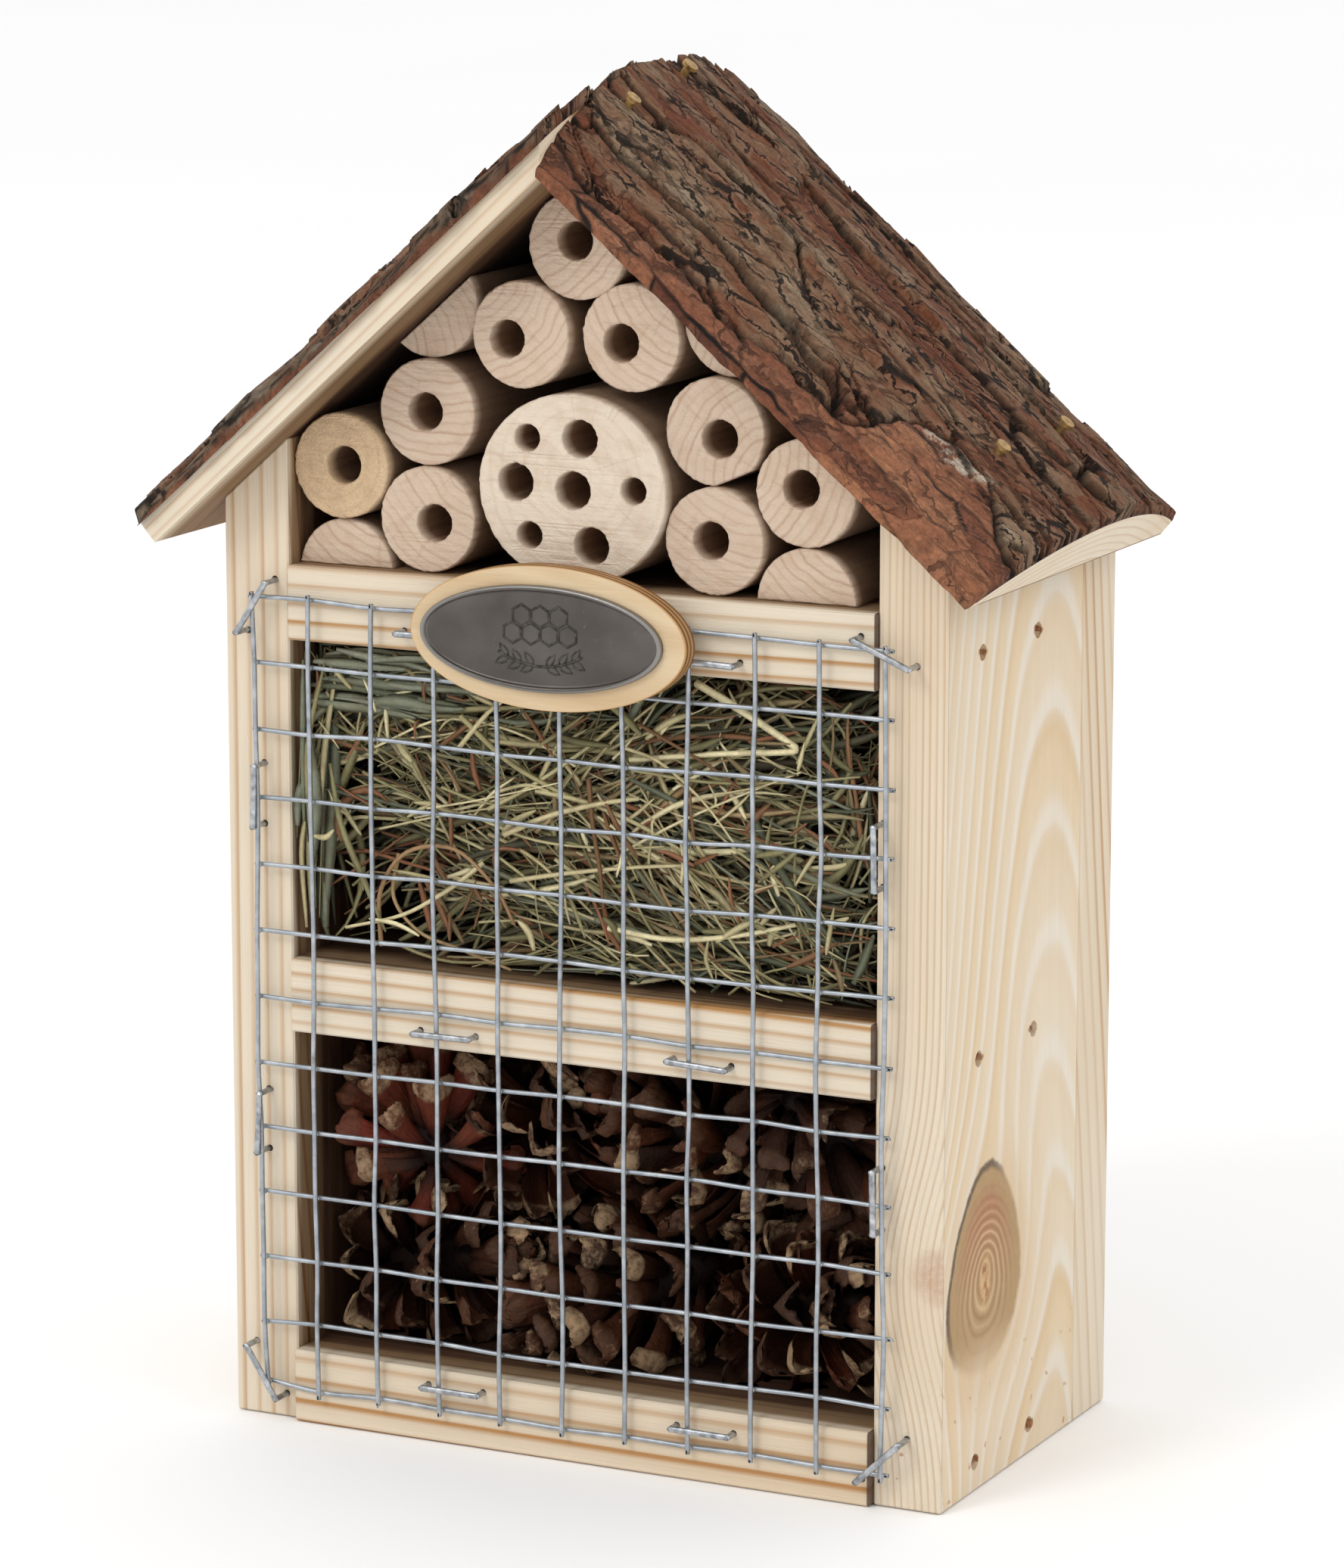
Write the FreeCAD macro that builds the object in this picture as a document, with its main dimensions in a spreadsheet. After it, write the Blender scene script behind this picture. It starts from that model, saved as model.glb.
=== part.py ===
import FreeCAD, Part
import os
import re
import Sketcher
from FreeCAD import Placement, Rotation, Vector

# Insect hotel: a small nailed pine house with two netted chambers and a gable full of drilled dowels.
# Its frame: +Z up, front towards -Y, origin under the middle of the side boards' front faces.

doc = FreeCAD.newDocument("insect_hotel")
sheet = doc.addObject("Spreadsheet::Sheet", "sizes")

# ---------------------------------------------------------------- driving sizes, in mm
SIZES = {
    # boards
    "body_width": "147",
    "side_thickness": "13.5",
    "side_depth": "62.5",
    "back_thickness": "16",
    "shelf_thickness": "14",
    "floor_base": "0",
    "middle_base": "76.2",
    "upper_base": "151",
    "floor_proud": "1.6",
    "middle_proud": "1.2",
    "upper_proud": "0.8",
    "arris": "0.35",
    # roof
    "ridge_shift": "-1.5",
    "ridge_height": "240.6",
    "eave_height": "169.3",
    "eave_reach": "82",
    "roof_front": "11.2",
    "roof_back": "79.4",
    "ridge_overrun": "24",
    "bark_thickness": "4",
    "bark_lip": "1.6",
    "left_log_radius": "150",
    "left_log_crown": "30",
    "left_slab_rise": "10.2",
    "right_log_radius": "112",
    "right_log_crown": "38",
    "right_slab_rise": "11.3",
    # wire mesh
    "wire_diameter": "1.1",
    "mesh_left": "-67",
    "mesh_bottom": "6.6",
    "pitch_across": "13",
    "pitch_up": "12.7",
    "wires_across": "11",
    "wires_up": "13",
    "wire_stub": "1.2",
    "weld_sink": "0.1",
    # staples, nails and pins
    "staple_wire": "1.2",
    "staple_crown": "11.6",
    "staple_leg": "11",
    "nail_diameter": "1.6",
    "nail_length": "32",
    "roof_nail_length": "20",
    "nail_head_diameter": "3",
    "nail_head_thickness": "0.8",
    "hole_clearance": "0.05",
    "side_nail_sink": "1.2",
    # plaque
    "plaque_width": "56",
    "plaque_tall": "26.6",
    "plaque_thickness": "4",
    "plaque_centre": "-1.6",
    "plaque_level": "157",
    "plate_width": "49",
    "plate_tall": "19.6",
    "plate_thickness": "1.2",
    "plate_rim": "1.1",
    "plate_dish": "0.5",
    "plate_centre": "-2.6",
    # dowels
    "dowel_diameter": "19.6",
    "dowel_length": "52",
    "bee_hole": "7",
    "small_bee_hole": "5",
    "bee_hole_depth": "40",
    "log_width": "38",
    "log_tall": "35",
    "log_length": "54",
    "log_recess": "1.5",
    "log_centre": "-1.7",
    # fillings
    "fill_clearance": "0.5",
    "hay_front": "2.5",
    "cone_radius": "13.6",
    # hanger
    "hanger_width": "44",
    "hanger_tall": "14",
    "hanger_thickness": "1.2",
    "hanger_corner": "4",
    "hanger_hole": "6",
    "hanger_recess": "10",
    "hanger_recess_depth": "5",
    "hanger_level": "206",
    "screw_diameter": "3",
    "screw_length": "14",
    "screw_head_diameter": "6",
    "screw_head_thickness": "1.2",
    "screw_spacing": "32",
}
# ---------------------------------------------------------------- sizes worked out from them
SIZES.update({
    "inner_half": "=body_width / 2 - side_thickness",
    "total_depth": "=side_depth + back_thickness",
    "left_slope": "=(ridge_height - eave_height) / (eave_reach + ridge_shift)",
    "right_slope": "=(ridge_height - eave_height) / (eave_reach - ridge_shift)",
    "left_pitch": "=atan(left_slope)",
    "right_pitch": "=atan(right_slope)",
    "left_slab_length": "=(eave_reach + ridge_shift) / cos(left_pitch)",
    "right_slab_length": "=(eave_reach - ridge_shift) / cos(right_pitch)",
    "mesh_back": "=floor_proud",
    "across_wire_level": "=mesh_back + wire_diameter / 2",
    "up_wire_level": "=across_wire_level + wire_diameter - weld_sink",
    "mesh_front": "=up_wire_level + wire_diameter / 2",
    "staple_level": "=mesh_front + hole_clearance + staple_wire / 2",
    "plaque_back": "=mesh_front + staple_wire + 2 * hole_clearance",
    "plaque_front": "=plaque_back + plaque_thickness",
})
for row, (alias, content) in enumerate(SIZES.items(), start=1):
    sheet.set(f"A{row}", alias)
    sheet.set(f"B{row}", content)
    sheet.setAlias(f"B{row}", alias)
doc.recompute()

ALIAS = re.compile(r"(?<![\w.])(" + "|".join(sorted(SIZES, key=len, reverse=True)) + r")(?!\w)")


def bind(thing, place, formula):
    """Ties one property to a formula written with the sheet's own names."""
    thing.setExpression(place, ALIAS.sub(r"sizes.\1", str(formula)))


def size(alias):
    """One plain number from the sheet, for loops that need it."""
    number = sheet.get(alias)
    return float(getattr(number, "Value", number))


def put(thing, across="0", back="0", up="0", turn=None):
    """Places a piece at formulas for X, Y and Z, turned by a fixed rotation."""
    thing.Placement = Placement(Vector(), turn or Rotation())
    for axis, formula in zip("xyz", (across, back, up)):
        bind(thing, f"Placement.Base.{axis}", formula)
    return thing


TO_RIGHT = Rotation(Vector(0, 1, 0), 90)      # a cylinder's own axis turned to +X
TO_BACK = Rotation(Vector(1, 0, 0), -90)      # ... to +Y
TO_FRONT = Rotation(Vector(1, 0, 0), 90)      # ... to -Y
TO_LEFT = Rotation(Vector(0, 1, 0), -90)      # ... to -X


def box(name, long, deep, tall, **place):
    block = doc.addObject("Part::Box", name)
    bind(block, "Length", long)
    bind(block, "Width", deep)
    bind(block, "Height", tall)
    return put(block, **place)


def rod(name, radius, length, **place):
    cylinder = doc.addObject("Part::Cylinder", name)
    bind(cylinder, "Radius", radius)
    bind(cylinder, "Height", length)
    return put(cylinder, **place)


def cut(name, base, *tools):
    """The base less each tool in turn; the last result takes the name."""
    for number, tool in enumerate(tools, start=1):
        piece = doc.addObject("Part::Cut", name if number == len(tools) else f"{name}_step_{number}")
        piece.Base = base
        piece.Tool = tool
        base = piece
    return base


def fuse(name, *pieces):
    joined = doc.addObject("Part::MultiFuse", name)
    joined.Shapes = list(pieces)
    return joined


def group(name, pieces):
    """Like pieces kept as separate solids under one name."""
    together = doc.addObject("Part::Compound", name)
    together.Links = list(pieces)
    return together


# ---------------------------------------------------------------- sketched boards
def outline(body, name, role, corners):
    """A closed straight-sided sketch with each corner fixed from the origin."""
    sketch = body.newObject("Sketcher::SketchObject", name)
    plane = next(item for item in body.Origin.OriginFeatures if item.Role == role)
    sketch.AttachmentSupport = [(plane, "")]
    sketch.MapMode = "FlatFace"
    count = len(corners)
    ring = Part.makePolygon([Rotation(Vector(0, 0, 1), 360 * turn / count + 225).multVec(Vector(50, 0, 0))
                             for turn in range(count + 1)])
    for number, edge in enumerate(ring.Edges):
        start, end = (vertex.Point for vertex in edge.Vertexes)
        sketch.addGeometry(Part.LineSegment(start, end), False)
        if number:
            sketch.addConstraint(Sketcher.Constraint("Coincident", number - 1, 2, number, 1))
    sketch.addConstraint(Sketcher.Constraint("Coincident", count - 1, 2, 0, 1))
    for number, (across, up) in enumerate(corners):
        start = sketch.Geometry[number].StartPoint
        for kind, now, formula in (("DistanceX", start.x, across), ("DistanceY", start.y, up)):
            index = sketch.addConstraint(Sketcher.Constraint(kind, -1, 1, number, 1, now))
            bind(sketch, f"Constraints[{index}]", formula)
    return sketch


def board(name, corners, depth, front="0"):
    """A sawn board: its front outline padded to the back, with its arrises eased."""
    body = doc.addObject("PartDesign::Body", name)
    face = outline(body, f"{name}_face", "XZ_Plane", corners)
    pad = body.newObject("PartDesign::Pad", f"{name}_pad")
    pad.Profile = face
    pad.Reversed = True
    bind(pad, "Length", depth)
    doc.recompute()
    eased = body.newObject("PartDesign::Chamfer", f"{name}_arris")
    eased.Base = (pad, [f"Edge{number}" for number in range(1, len(pad.Shape.Edges) + 1)])
    bind(eased, "Size", "arris")
    return put(body, back=front)


def roof_height(across):
    """The underside of the roof over a place left (negative) or right of the middle."""
    slope = "left_slope" if across.startswith("-") else "right_slope"
    away = f"(ridge_shift - ({across}))" if across.startswith("-") else f"(({across}) - ridge_shift)"
    return f"ridge_height - {slope} * {away}"


def side_corners(outer, inner):
    return [(outer, "0"), (inner, "0"), (inner, roof_height(inner)), (outer, roof_height(outer))]


LEFT_OUTER = "-body_width / 2"
RIGHT_OUTER = "body_width / 2"
left_side = board("left_side_blank", side_corners(LEFT_OUTER, "-inner_half"), "side_depth")
right_side = board("right_side_blank", side_corners(RIGHT_OUTER, "inner_half"), "side_depth")
back = board(
    "back_blank",
    [(LEFT_OUTER, "0"), (RIGHT_OUTER, "0"), (RIGHT_OUTER, roof_height(RIGHT_OUTER)),
     ("ridge_shift", "ridge_height"), (LEFT_OUTER, roof_height(LEFT_OUTER))],
    "back_thickness", front="side_depth")


def shelf(name, base, proud):
    corners = [("-inner_half", base), ("inner_half", base),
               ("inner_half", f"{base} + shelf_thickness"), ("-inner_half", f"{base} + shelf_thickness")]
    return board(name, corners, f"side_depth + {proud}", front=f"-{proud}")


shelves = {level: shelf(f"{level}_blank", f"{level}_base", f"{level}_proud")
           for level in ("floor", "middle", "upper")}


# ---------------------------------------------------------------- roof: slabs sawn off the side of a log
def on_slope(thing, side):
    """Lays a piece made flat, with the ridge at its origin, onto one slope of the roof."""
    thing.Placement = Placement(Vector(), Rotation(Vector(0, 1 if side == "right" else -1, 0), 30))
    bind(thing, "Placement.Rotation.Angle", f"{side}_pitch")
    bind(thing, "Placement.Base.x", "ridge_shift")
    bind(thing, "Placement.Base.z", "ridge_height")
    return thing


def along(side, toward_ridge, length):
    """Local X where a piece of this length starts, measured from the ridge down the slope."""
    return f"-({toward_ridge})" if side == "right" else f"({toward_ridge}) - ({length})"


def log_slice(name, side, extra, lip):
    """Everything of a log, grown by extra, that stands above the slab's flat underside."""
    length = f"{side}_slab_length + ridge_overrun"
    start = along(side, "ridge_overrun", length)
    trunk = rod(f"{name}_trunk", f"{side}_log_radius + {extra}", length, across=start,
                back=f"{side}_log_crown", up=f"{side}_slab_rise - {side}_log_radius", turn=TO_RIGHT)
    room = box(f"{name}_room", length, f"roof_front + roof_back + {lip}", f"{side}_log_radius",
               across=start, back=f"-roof_front - {lip}")
    common = doc.addObject("Part::Common", f"{name}_slice")
    common.Base = room
    common.Tool = trunk
    return common, trunk


def roof_side(side):
    """The wood slab and the bark on it, both cut plumb at the ridge."""
    wood, trunk = log_slice(f"{side}_slab", side, "0", "0")
    grown, _ = log_slice(f"{side}_bark", side, "bark_thickness", "bark_lip")
    shell = cut(f"{side}_bark_shell", grown, trunk)
    beyond = box(f"{side}_plumb_cut", "ridge_overrun * 2", "roof_front + roof_back + 20", "100",
                 across="ridge_shift - ridge_overrun * 2" if side == "right" else "ridge_shift",
                 back="-roof_front - 10", up="ridge_height - 50")
    pieces = []
    for name, local in ((f"{side}_slab_plumb", wood), (f"{side}_bark_plumb", shell)):
        pieces.append(cut(name, on_slope(local, side), beyond))
    return pieces


left_slab, left_bark = roof_side("left")
right_slab, right_bark = roof_side("right")


# ---------------------------------------------------------------- nails and the holes they sit in
def nail(name, length="nail_length", grow="0", **place):
    """A nail along its own +Z with the head at the far end; grow makes the hole for it."""
    shank = rod(f"{name}_shank", f"nail_diameter / 2 + {grow}", length)
    head = rod(f"{name}_head", f"nail_head_diameter / 2 + {grow}",
               f"nail_head_thickness + {grow} * 200", up=f"{length} - {grow}")
    return put(fuse(name, shank, head), **place)


def nails_and_holes(name, places, length="nail_length"):
    """The group of nails at these places, and the same shapes grown by the clearance."""
    made = [[nail(f"{name}_{kind}_{number}", length, grow, **place)
             for number, place in enumerate(places, start=1)]
            for kind, grow in (("nail", "0"), ("hole", "hole_clearance"))]
    return made[0], group(f"{name}_holes", made[1])


NAIL_ROWS = ("15.5", "41")                    # how far back each pair of side nails stands
side_places = []
for level in shelves:
    for row in NAIL_ROWS:
        middle_of_shelf = f"{level}_base + shelf_thickness * 0.4"
        reach = "body_width / 2 - side_nail_sink - nail_head_thickness - nail_length"
        side_places.append(dict(across=reach, back=row, up=middle_of_shelf, turn=TO_RIGHT))
        side_places.append(dict(across=f"-({reach})", back=row, up=middle_of_shelf, turn=TO_LEFT))
side_nails, side_holes = nails_and_holes("side", side_places)

BACK_NAIL_LEVELS = ("30", "95", "150")
back_places = [dict(across=f"{sign}(body_width - side_thickness) / 2", up=level, turn=TO_BACK,
                    back="total_depth - nail_head_thickness - nail_length")
               for level in BACK_NAIL_LEVELS for sign in ("", "-")]
back_nails, back_holes = nails_and_holes("back", back_places)


def slope_nails(side, name, places):
    """Nails driven square to one slope: each place is (down the slope, back, height of the head)."""
    sign = "" if side == "right" else "-"
    flat = [dict(across=f"{sign}{down}", back=back_by, up=f"{head} - roof_nail_length")
            for down, back_by, head in places]
    nails, holes = nails_and_holes(f"{side}_{name}", flat, "roof_nail_length")
    return on_slope(group(f"{side}_{name}_nails", nails), side), on_slope(holes, side)


left_eave, left_eave_holes = slope_nails("left", "eave", [("89", "20", "13.2"), ("89", "48", "12.4")])
right_eave, right_eave_holes = slope_nails("right", "eave", [("89", "20", "13.3"), ("89", "48", "14.2")])
ridge_pair, ridge_holes = slope_nails("right", "ridge", [("-3.5", "15", "12.4"), ("-7", "41", "14.6")])
roof_holes = group("roof_holes", [left_eave_holes, right_eave_holes, ridge_holes])


# ---------------------------------------------------------------- staples holding the mesh
# Each staple: the board side it sits on, its middle (across, up) and its tilt from level, in degrees.
STAPLES = (
    ("-65.8", "157.1", 60), ("-65.7", "121.3", 90), ("-65.6", "58.4", 90), ("-65.8", "9.4", -56),
    ("62.2", "158.4", -24), ("61.2", "121.3", 90), ("61.4", "58", 90), ("62.6", "9.3", 45),
    ("-29.4", "154.6", 0), ("27.4", "154.1", 0), ("-26.5", "79.4", 0), ("26", "79.6", 0),
    ("-25.2", "11", 0), ("26.8", "10.2", 0),
)


def staple(number, middle, level, tilt, grow="0"):
    """A wire staple lying flat on the mesh with both legs driven back into the wood."""
    name = f"staple{'_hole' if grow != '0' else ''}_{number}"
    radius = f"staple_wire / 2 + {grow}"
    crown = rod(f"{name}_crown", radius, "staple_crown", across="-staple_crown / 2", turn=TO_RIGHT)
    legs = [rod(f"{name}_{hand}_leg", radius, "staple_leg", across=f"{sign}(staple_crown / 2)", turn=TO_BACK)
            for hand, sign in (("left", "-"), ("right", ""))]
    shoulders = []
    for hand, sign in (("left", "-"), ("right", "")):
        shoulder = doc.addObject("Part::Sphere", f"{name}_{hand}_shoulder")
        bind(shoulder, "Radius", radius)
        shoulders.append(put(shoulder, across=f"{sign}(staple_crown / 2)"))
    return put(fuse(name, crown, *legs, *shoulders), across=middle, back="-staple_level", up=level,
               turn=Rotation(Vector(0, 1, 0), -tilt))


staples = [staple(number, *place) for number, place in enumerate(STAPLES, start=1)]
staple_holes = group("staple_holes", [staple(number, *place, grow="hole_clearance")
                                      for number, place in enumerate(STAPLES, start=1)])


# ---------------------------------------------------------------- welded wire mesh
mesh_wires = []
for number in range(int(size("wires_across"))):
    mesh_wires.append(rod(f"up_wire_{number}", "wire_diameter / 2", "pitch_up * (wires_up - 1) + 2 * wire_stub",
                          across=f"mesh_left + pitch_across * {number}", back="-up_wire_level",
                          up="mesh_bottom - wire_stub"))
for number in range(int(size("wires_up"))):
    mesh_wires.append(rod(f"across_wire_{number}", "wire_diameter / 2",
                          "pitch_across * (wires_across - 1) + 2 * wire_stub",
                          across="mesh_left - wire_stub", back="-across_wire_level",
                          up=f"mesh_bottom + pitch_up * {number}", turn=TO_RIGHT))
mesh = fuse("wire_mesh", *mesh_wires)


# ---------------------------------------------------------------- plaque: plywood oval, metal plate, hidden pins
def oval(name, wide, tall, thick, middle, front):
    """An oval plate in the front plane, thick from its front face to the back."""
    rim = doc.addObject("Part::Ellipse", f"{name}_rim")
    bind(rim, "MajorRadius", f"{wide} / 2")
    bind(rim, "MinorRadius", f"{tall} / 2")
    plate = doc.addObject("Part::Extrusion", name)
    plate.Base = rim
    plate.DirMode = "Custom"
    plate.Dir = Vector(0, 0, 1)
    plate.Solid = True
    bind(plate, "LengthFwd", thick)
    return put(plate, across=middle, back=front, up="plaque_level", turn=TO_BACK)


PIN_PLACES = ("-8.4", "4.6")                  # both stand in the middle of a mesh cell
PIN_BELOW_CENTRE = "2.4"
pin_places = [dict(across=place, back="-plaque_front + nail_head_thickness + nail_length * 0.5",
                   up=f"plaque_level - {PIN_BELOW_CENTRE}", turn=TO_FRONT) for place in PIN_PLACES]
pins, pin_holes = nails_and_holes("plaque_pin", pin_places, "nail_length * 0.5")
disc_blank = oval("plaque_blank", "plaque_width", "plaque_tall", "plaque_thickness",
                  "plaque_centre", "-plaque_front")
plate_blank = oval("plate_blank", "plate_width", "plate_tall", "plate_thickness",
                   "plate_centre", "-plaque_front - plate_thickness")
plate_dish = oval("plate_dish_tool", "(plate_width - 2 * plate_rim)", "(plate_tall - 2 * plate_rim)",
                  "plate_dish", "plate_centre", "-plaque_front - plate_thickness")


# ---------------------------------------------------------------- dowels in the gable
# Name: middle (across, up), how far back its end stands, and the hole's middle from its own (across, up).
DRILLED = {
    "ridge_dowel": (("-1.7", "226.8"), "4", (-0.5, 0.9)),
    "upper_left_dowel": (("-12.8", "210.2"), "3", (-2.8, -0.9)),
    "upper_right_dowel": (("8.8", "210.6"), "4.5", (-2.0, -1.0)),
    "left_dowel": (("-32.4", "194.8"), "3.5", (-0.4, 0.1)),
    "outer_left_dowel": (("-50", "183.9"), "2.5", (0.6, 0.2)),
    "lower_left_dowel": (("-32.2", "175"), "3", (1.4, -0.6)),
    "right_dowel": (("25.8", "194.7"), "4", (1.0, -1.2)),
    "lower_right_dowel": (("26.2", "175"), "3", (-0.7, 0.1)),
    "outer_right_dowel": (("44", "184.9"), "3.5", (-0.9, 0.7)),
}
LOG_HOLES = (
    ("bee_hole", 1.6, 9.4), ("bee_hole", -11.5, 0.7), ("bee_hole", 0.2, -0.1), ("bee_hole", 3.9, -10.1),
    ("small_bee_hole", -9.1, 9.0), ("small_bee_hole", 12.4, 0.6), ("small_bee_hole", -8.7, -8.9),
)


def bee_hole(name, bore, middle, up, recess, aside, above):
    """A blind hole drilled in from the front end."""
    return rod(name, f"{bore} / 2", "bee_hole_depth", across=f"{middle} + {aside}", back=recess,
               up=f"{up} + {above}", turn=TO_BACK)


dowels = {}
for name, ((middle, up), recess, (aside, above)) in DRILLED.items():
    stick = rod(f"{name}_stick", "dowel_diameter / 2", "dowel_length", across=middle, back=recess, up=up,
                turn=TO_BACK)
    dowels[name] = cut(name, stick, bee_hole(f"{name}_hole", "bee_hole", middle, up, recess, aside, above))

log_up = "upper_base + shelf_thickness + log_tall / 2 + 0.2"
log_blank = doc.addObject("Part::Extrusion", "log_blank")
log_end = doc.addObject("Part::Ellipse", "log_end")
bind(log_end, "MajorRadius", "log_width / 2")
bind(log_end, "MinorRadius", "log_tall / 2")
log_blank.Base = log_end
log_blank.DirMode = "Custom"
log_blank.Dir = Vector(0, 0, 1)
log_blank.Solid = True
bind(log_blank, "LengthFwd", "log_length")
put(log_blank, across="log_centre", back="log_recess", up=log_up, turn=TO_BACK)
log_holes = [bee_hole(f"log_hole_{number}", bore, "log_centre", log_up, "log_recess", aside, above)
             for number, (bore, aside, above) in enumerate(LOG_HOLES, start=1)]
dowels["drilled_log"] = cut("drilled_log", log_blank, *log_holes)

# Split dowels laid flat side to a board. Name: middle of the round (across, up), the sawn face's turn
# from level in degrees, how far the sawn face stands below the middle, and how far back the end stands.
SPLIT = {
    "left_roof_half_dowel": (("-32.4", "214.5"), "180 deg - left_pitch", "-1.25", "5"),
    "right_roof_half_dowel": (("28.6", "214.3"), "180 deg + right_pitch", "0.25", "6"),
    "left_shelf_half_dowel": (("-49.9", "164"), "0 deg", "-1.05", "4"),
    "right_shelf_half_dowel": (("44.3", "165.1"), "0 deg", "0", "3.5"),
}
for name, ((middle, up), lean, below, recess) in SPLIT.items():
    stick = rod(f"{name}_stick", "dowel_diameter / 2", "dowel_length", turn=TO_BACK)
    waste = box(f"{name}_waste", "dowel_diameter * 2", "dowel_length + 2", "dowel_diameter",
                across="-dowel_diameter", back="-1", up=f"-({below}) - dowel_diameter")
    half = cut(name, stick, waste)
    put(half, across=middle, back=recess, up=up, turn=Rotation(Vector(0, 1, 0), 30))
    bind(half, "Placement.Rotation.Angle", lean)
    dowels[name] = half


# ---------------------------------------------------------------- fillings
hay = box("hay_fill", "2 * (inner_half - fill_clearance)", "side_depth - hay_front - fill_clearance",
          "upper_base - middle_base - shelf_thickness - 2 * fill_clearance",
          across="-inner_half + fill_clearance", back="hay_front",
          up="middle_base + shelf_thickness + fill_clearance")

# Cones, each an egg-shaped envelope: half length, middle (across, back, up) and the way its axis points.
CONES = (
    (19.5, (-39.5, 21.5, 28.5), (1, 0.15, 0)), (19.5, (0.5, 21, 28.5), (1, -0.1, 0)),
    (19.5, (40, 21.5, 28.5), (-1, 0.1, 0)), (19.5, (-39.5, 49, 28.3), (1, 0, 0)),
    (19.5, (0.5, 48.8, 28.3), (-1, 0, 0)), (19.5, (40, 48.8, 28.3), (1, 0, 0)),
    (19, (-45.2, 25, 58.5), (0.1, 1, 0.12)), (19, (-16, 26, 60), (0, -1, 0.1)),
    (19, (13.5, 25, 59.5), (-0.1, -1, 0)), (19, (43.5, 26, 60), (0.05, 1, 0.1)),
)
cones = []
for number, (half_length, middle, axis) in enumerate(CONES, start=1):
    cone = doc.addObject("Part::Ellipsoid", f"pine_cone_{number}")
    cone.Radius1 = half_length
    bind(cone, "Radius2", "cone_radius")
    bind(cone, "Radius3", "cone_radius")
    cone.Placement = Placement(Vector(*middle), Rotation(Vector(0, 0, 1), Vector(*axis)))
    cones.append(cone)


# ---------------------------------------------------------------- hanger on the back
hanger_body = doc.addObject("PartDesign::Body", "hanger_body")
hanger_face = outline(hanger_body, "hanger_face", "XZ_Plane",
                      [("-hanger_width / 2", "-hanger_tall / 2"), ("hanger_width / 2", "-hanger_tall / 2"),
                       ("hanger_width / 2", "hanger_tall / 2"), ("-hanger_width / 2", "hanger_tall / 2")])
hanger_pad = hanger_body.newObject("PartDesign::Pad", "hanger_pad")
hanger_pad.Profile = hanger_face
hanger_pad.Reversed = True
bind(hanger_pad, "Length", "hanger_thickness")
doc.recompute()
upright = [f"Edge{number}" for number, edge in enumerate(hanger_pad.Shape.Edges, start=1)
           if abs(edge.tangentAt(edge.FirstParameter).y) > 0.9]
hanger_round = hanger_body.newObject("PartDesign::Fillet", "hanger_round")
hanger_round.Base = (hanger_pad, upright)
bind(hanger_round, "Radius", "hanger_corner")
put(hanger_body, back="total_depth", up="hanger_level")


def screw(name, side, grow="0"):
    """A pan-head screw through the hanger into the back board."""
    shank = rod(f"{name}_shank", f"screw_diameter / 2 + {grow}", "screw_length")
    head = rod(f"{name}_head", f"screw_head_diameter / 2 + {grow}", "screw_head_thickness", up="screw_length")
    return put(fuse(name, shank, head), across=f"{side}screw_spacing / 2",
               back="total_depth + hanger_thickness + hole_clearance - screw_length", up="hanger_level",
               turn=TO_BACK)


screws = [screw(f"hanger_screw_{number}", side) for number, side in enumerate(("-", ""), start=1)]
screw_holes = group("screw_holes", [screw(f"screw_hole_{number}", side, "hole_clearance")
                                    for number, side in enumerate(("-", ""), start=1)])
hook_hole = rod("hook_hole", "hanger_hole / 2", "hanger_thickness + 2", back="total_depth - 1",
                up="hanger_level", turn=TO_BACK)
hook_recess = rod("hook_recess", "hanger_recess / 2", "hanger_recess_depth + 1",
                  back="total_depth - hanger_recess_depth", up="hanger_level", turn=TO_BACK)

# ---------------------------------------------------------------- the finished sub-parts
nodes = {
    "left_side_board": cut("left_side_board", left_side, side_holes, back_holes, roof_holes, staple_holes),
    "right_side_board": cut("right_side_board", right_side, side_holes, back_holes, roof_holes, staple_holes),
    "back_board": cut("back_board", back, back_holes, screw_holes, hook_recess),
    "floor_shelf": cut("floor_shelf", shelves["floor"], side_holes, staple_holes),
    "middle_shelf": cut("middle_shelf", shelves["middle"], side_holes, staple_holes),
    "upper_shelf": cut("upper_shelf", shelves["upper"], side_holes, staple_holes, pin_holes),
    "left_roof_slab": cut("left_roof_slab", left_slab, roof_holes),
    "right_roof_slab": cut("right_roof_slab", right_slab, roof_holes),
    "left_roof_bark": cut("left_roof_bark", left_bark, roof_holes),
    "right_roof_bark": cut("right_roof_bark", right_bark, roof_holes),
    "wire_mesh": mesh,
    "mesh_staples": group("mesh_staples", staples),
    "plaque_disc": cut("plaque_disc", disc_blank, pin_holes),
    "plaque_plate": cut("plaque_plate", plate_blank, plate_dish),
    "plaque_pins": group("plaque_pins", pins),
    "roof_nails": group("roof_nails", [left_eave, right_eave, ridge_pair]),
    "side_nails": group("side_nails", side_nails),
    "back_nails": group("back_nails", back_nails),
    "hanger_plate": cut("hanger_plate", hanger_body, hook_hole, screw_holes),
    "hanger_screws": group("hanger_screws", screws),
    "hay_fill": hay,
    **dowels,
    **{cone.Name: cone for cone in cones},
}
for name, piece in nodes.items():
    piece.Label = name
doc.recompute()

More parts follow.
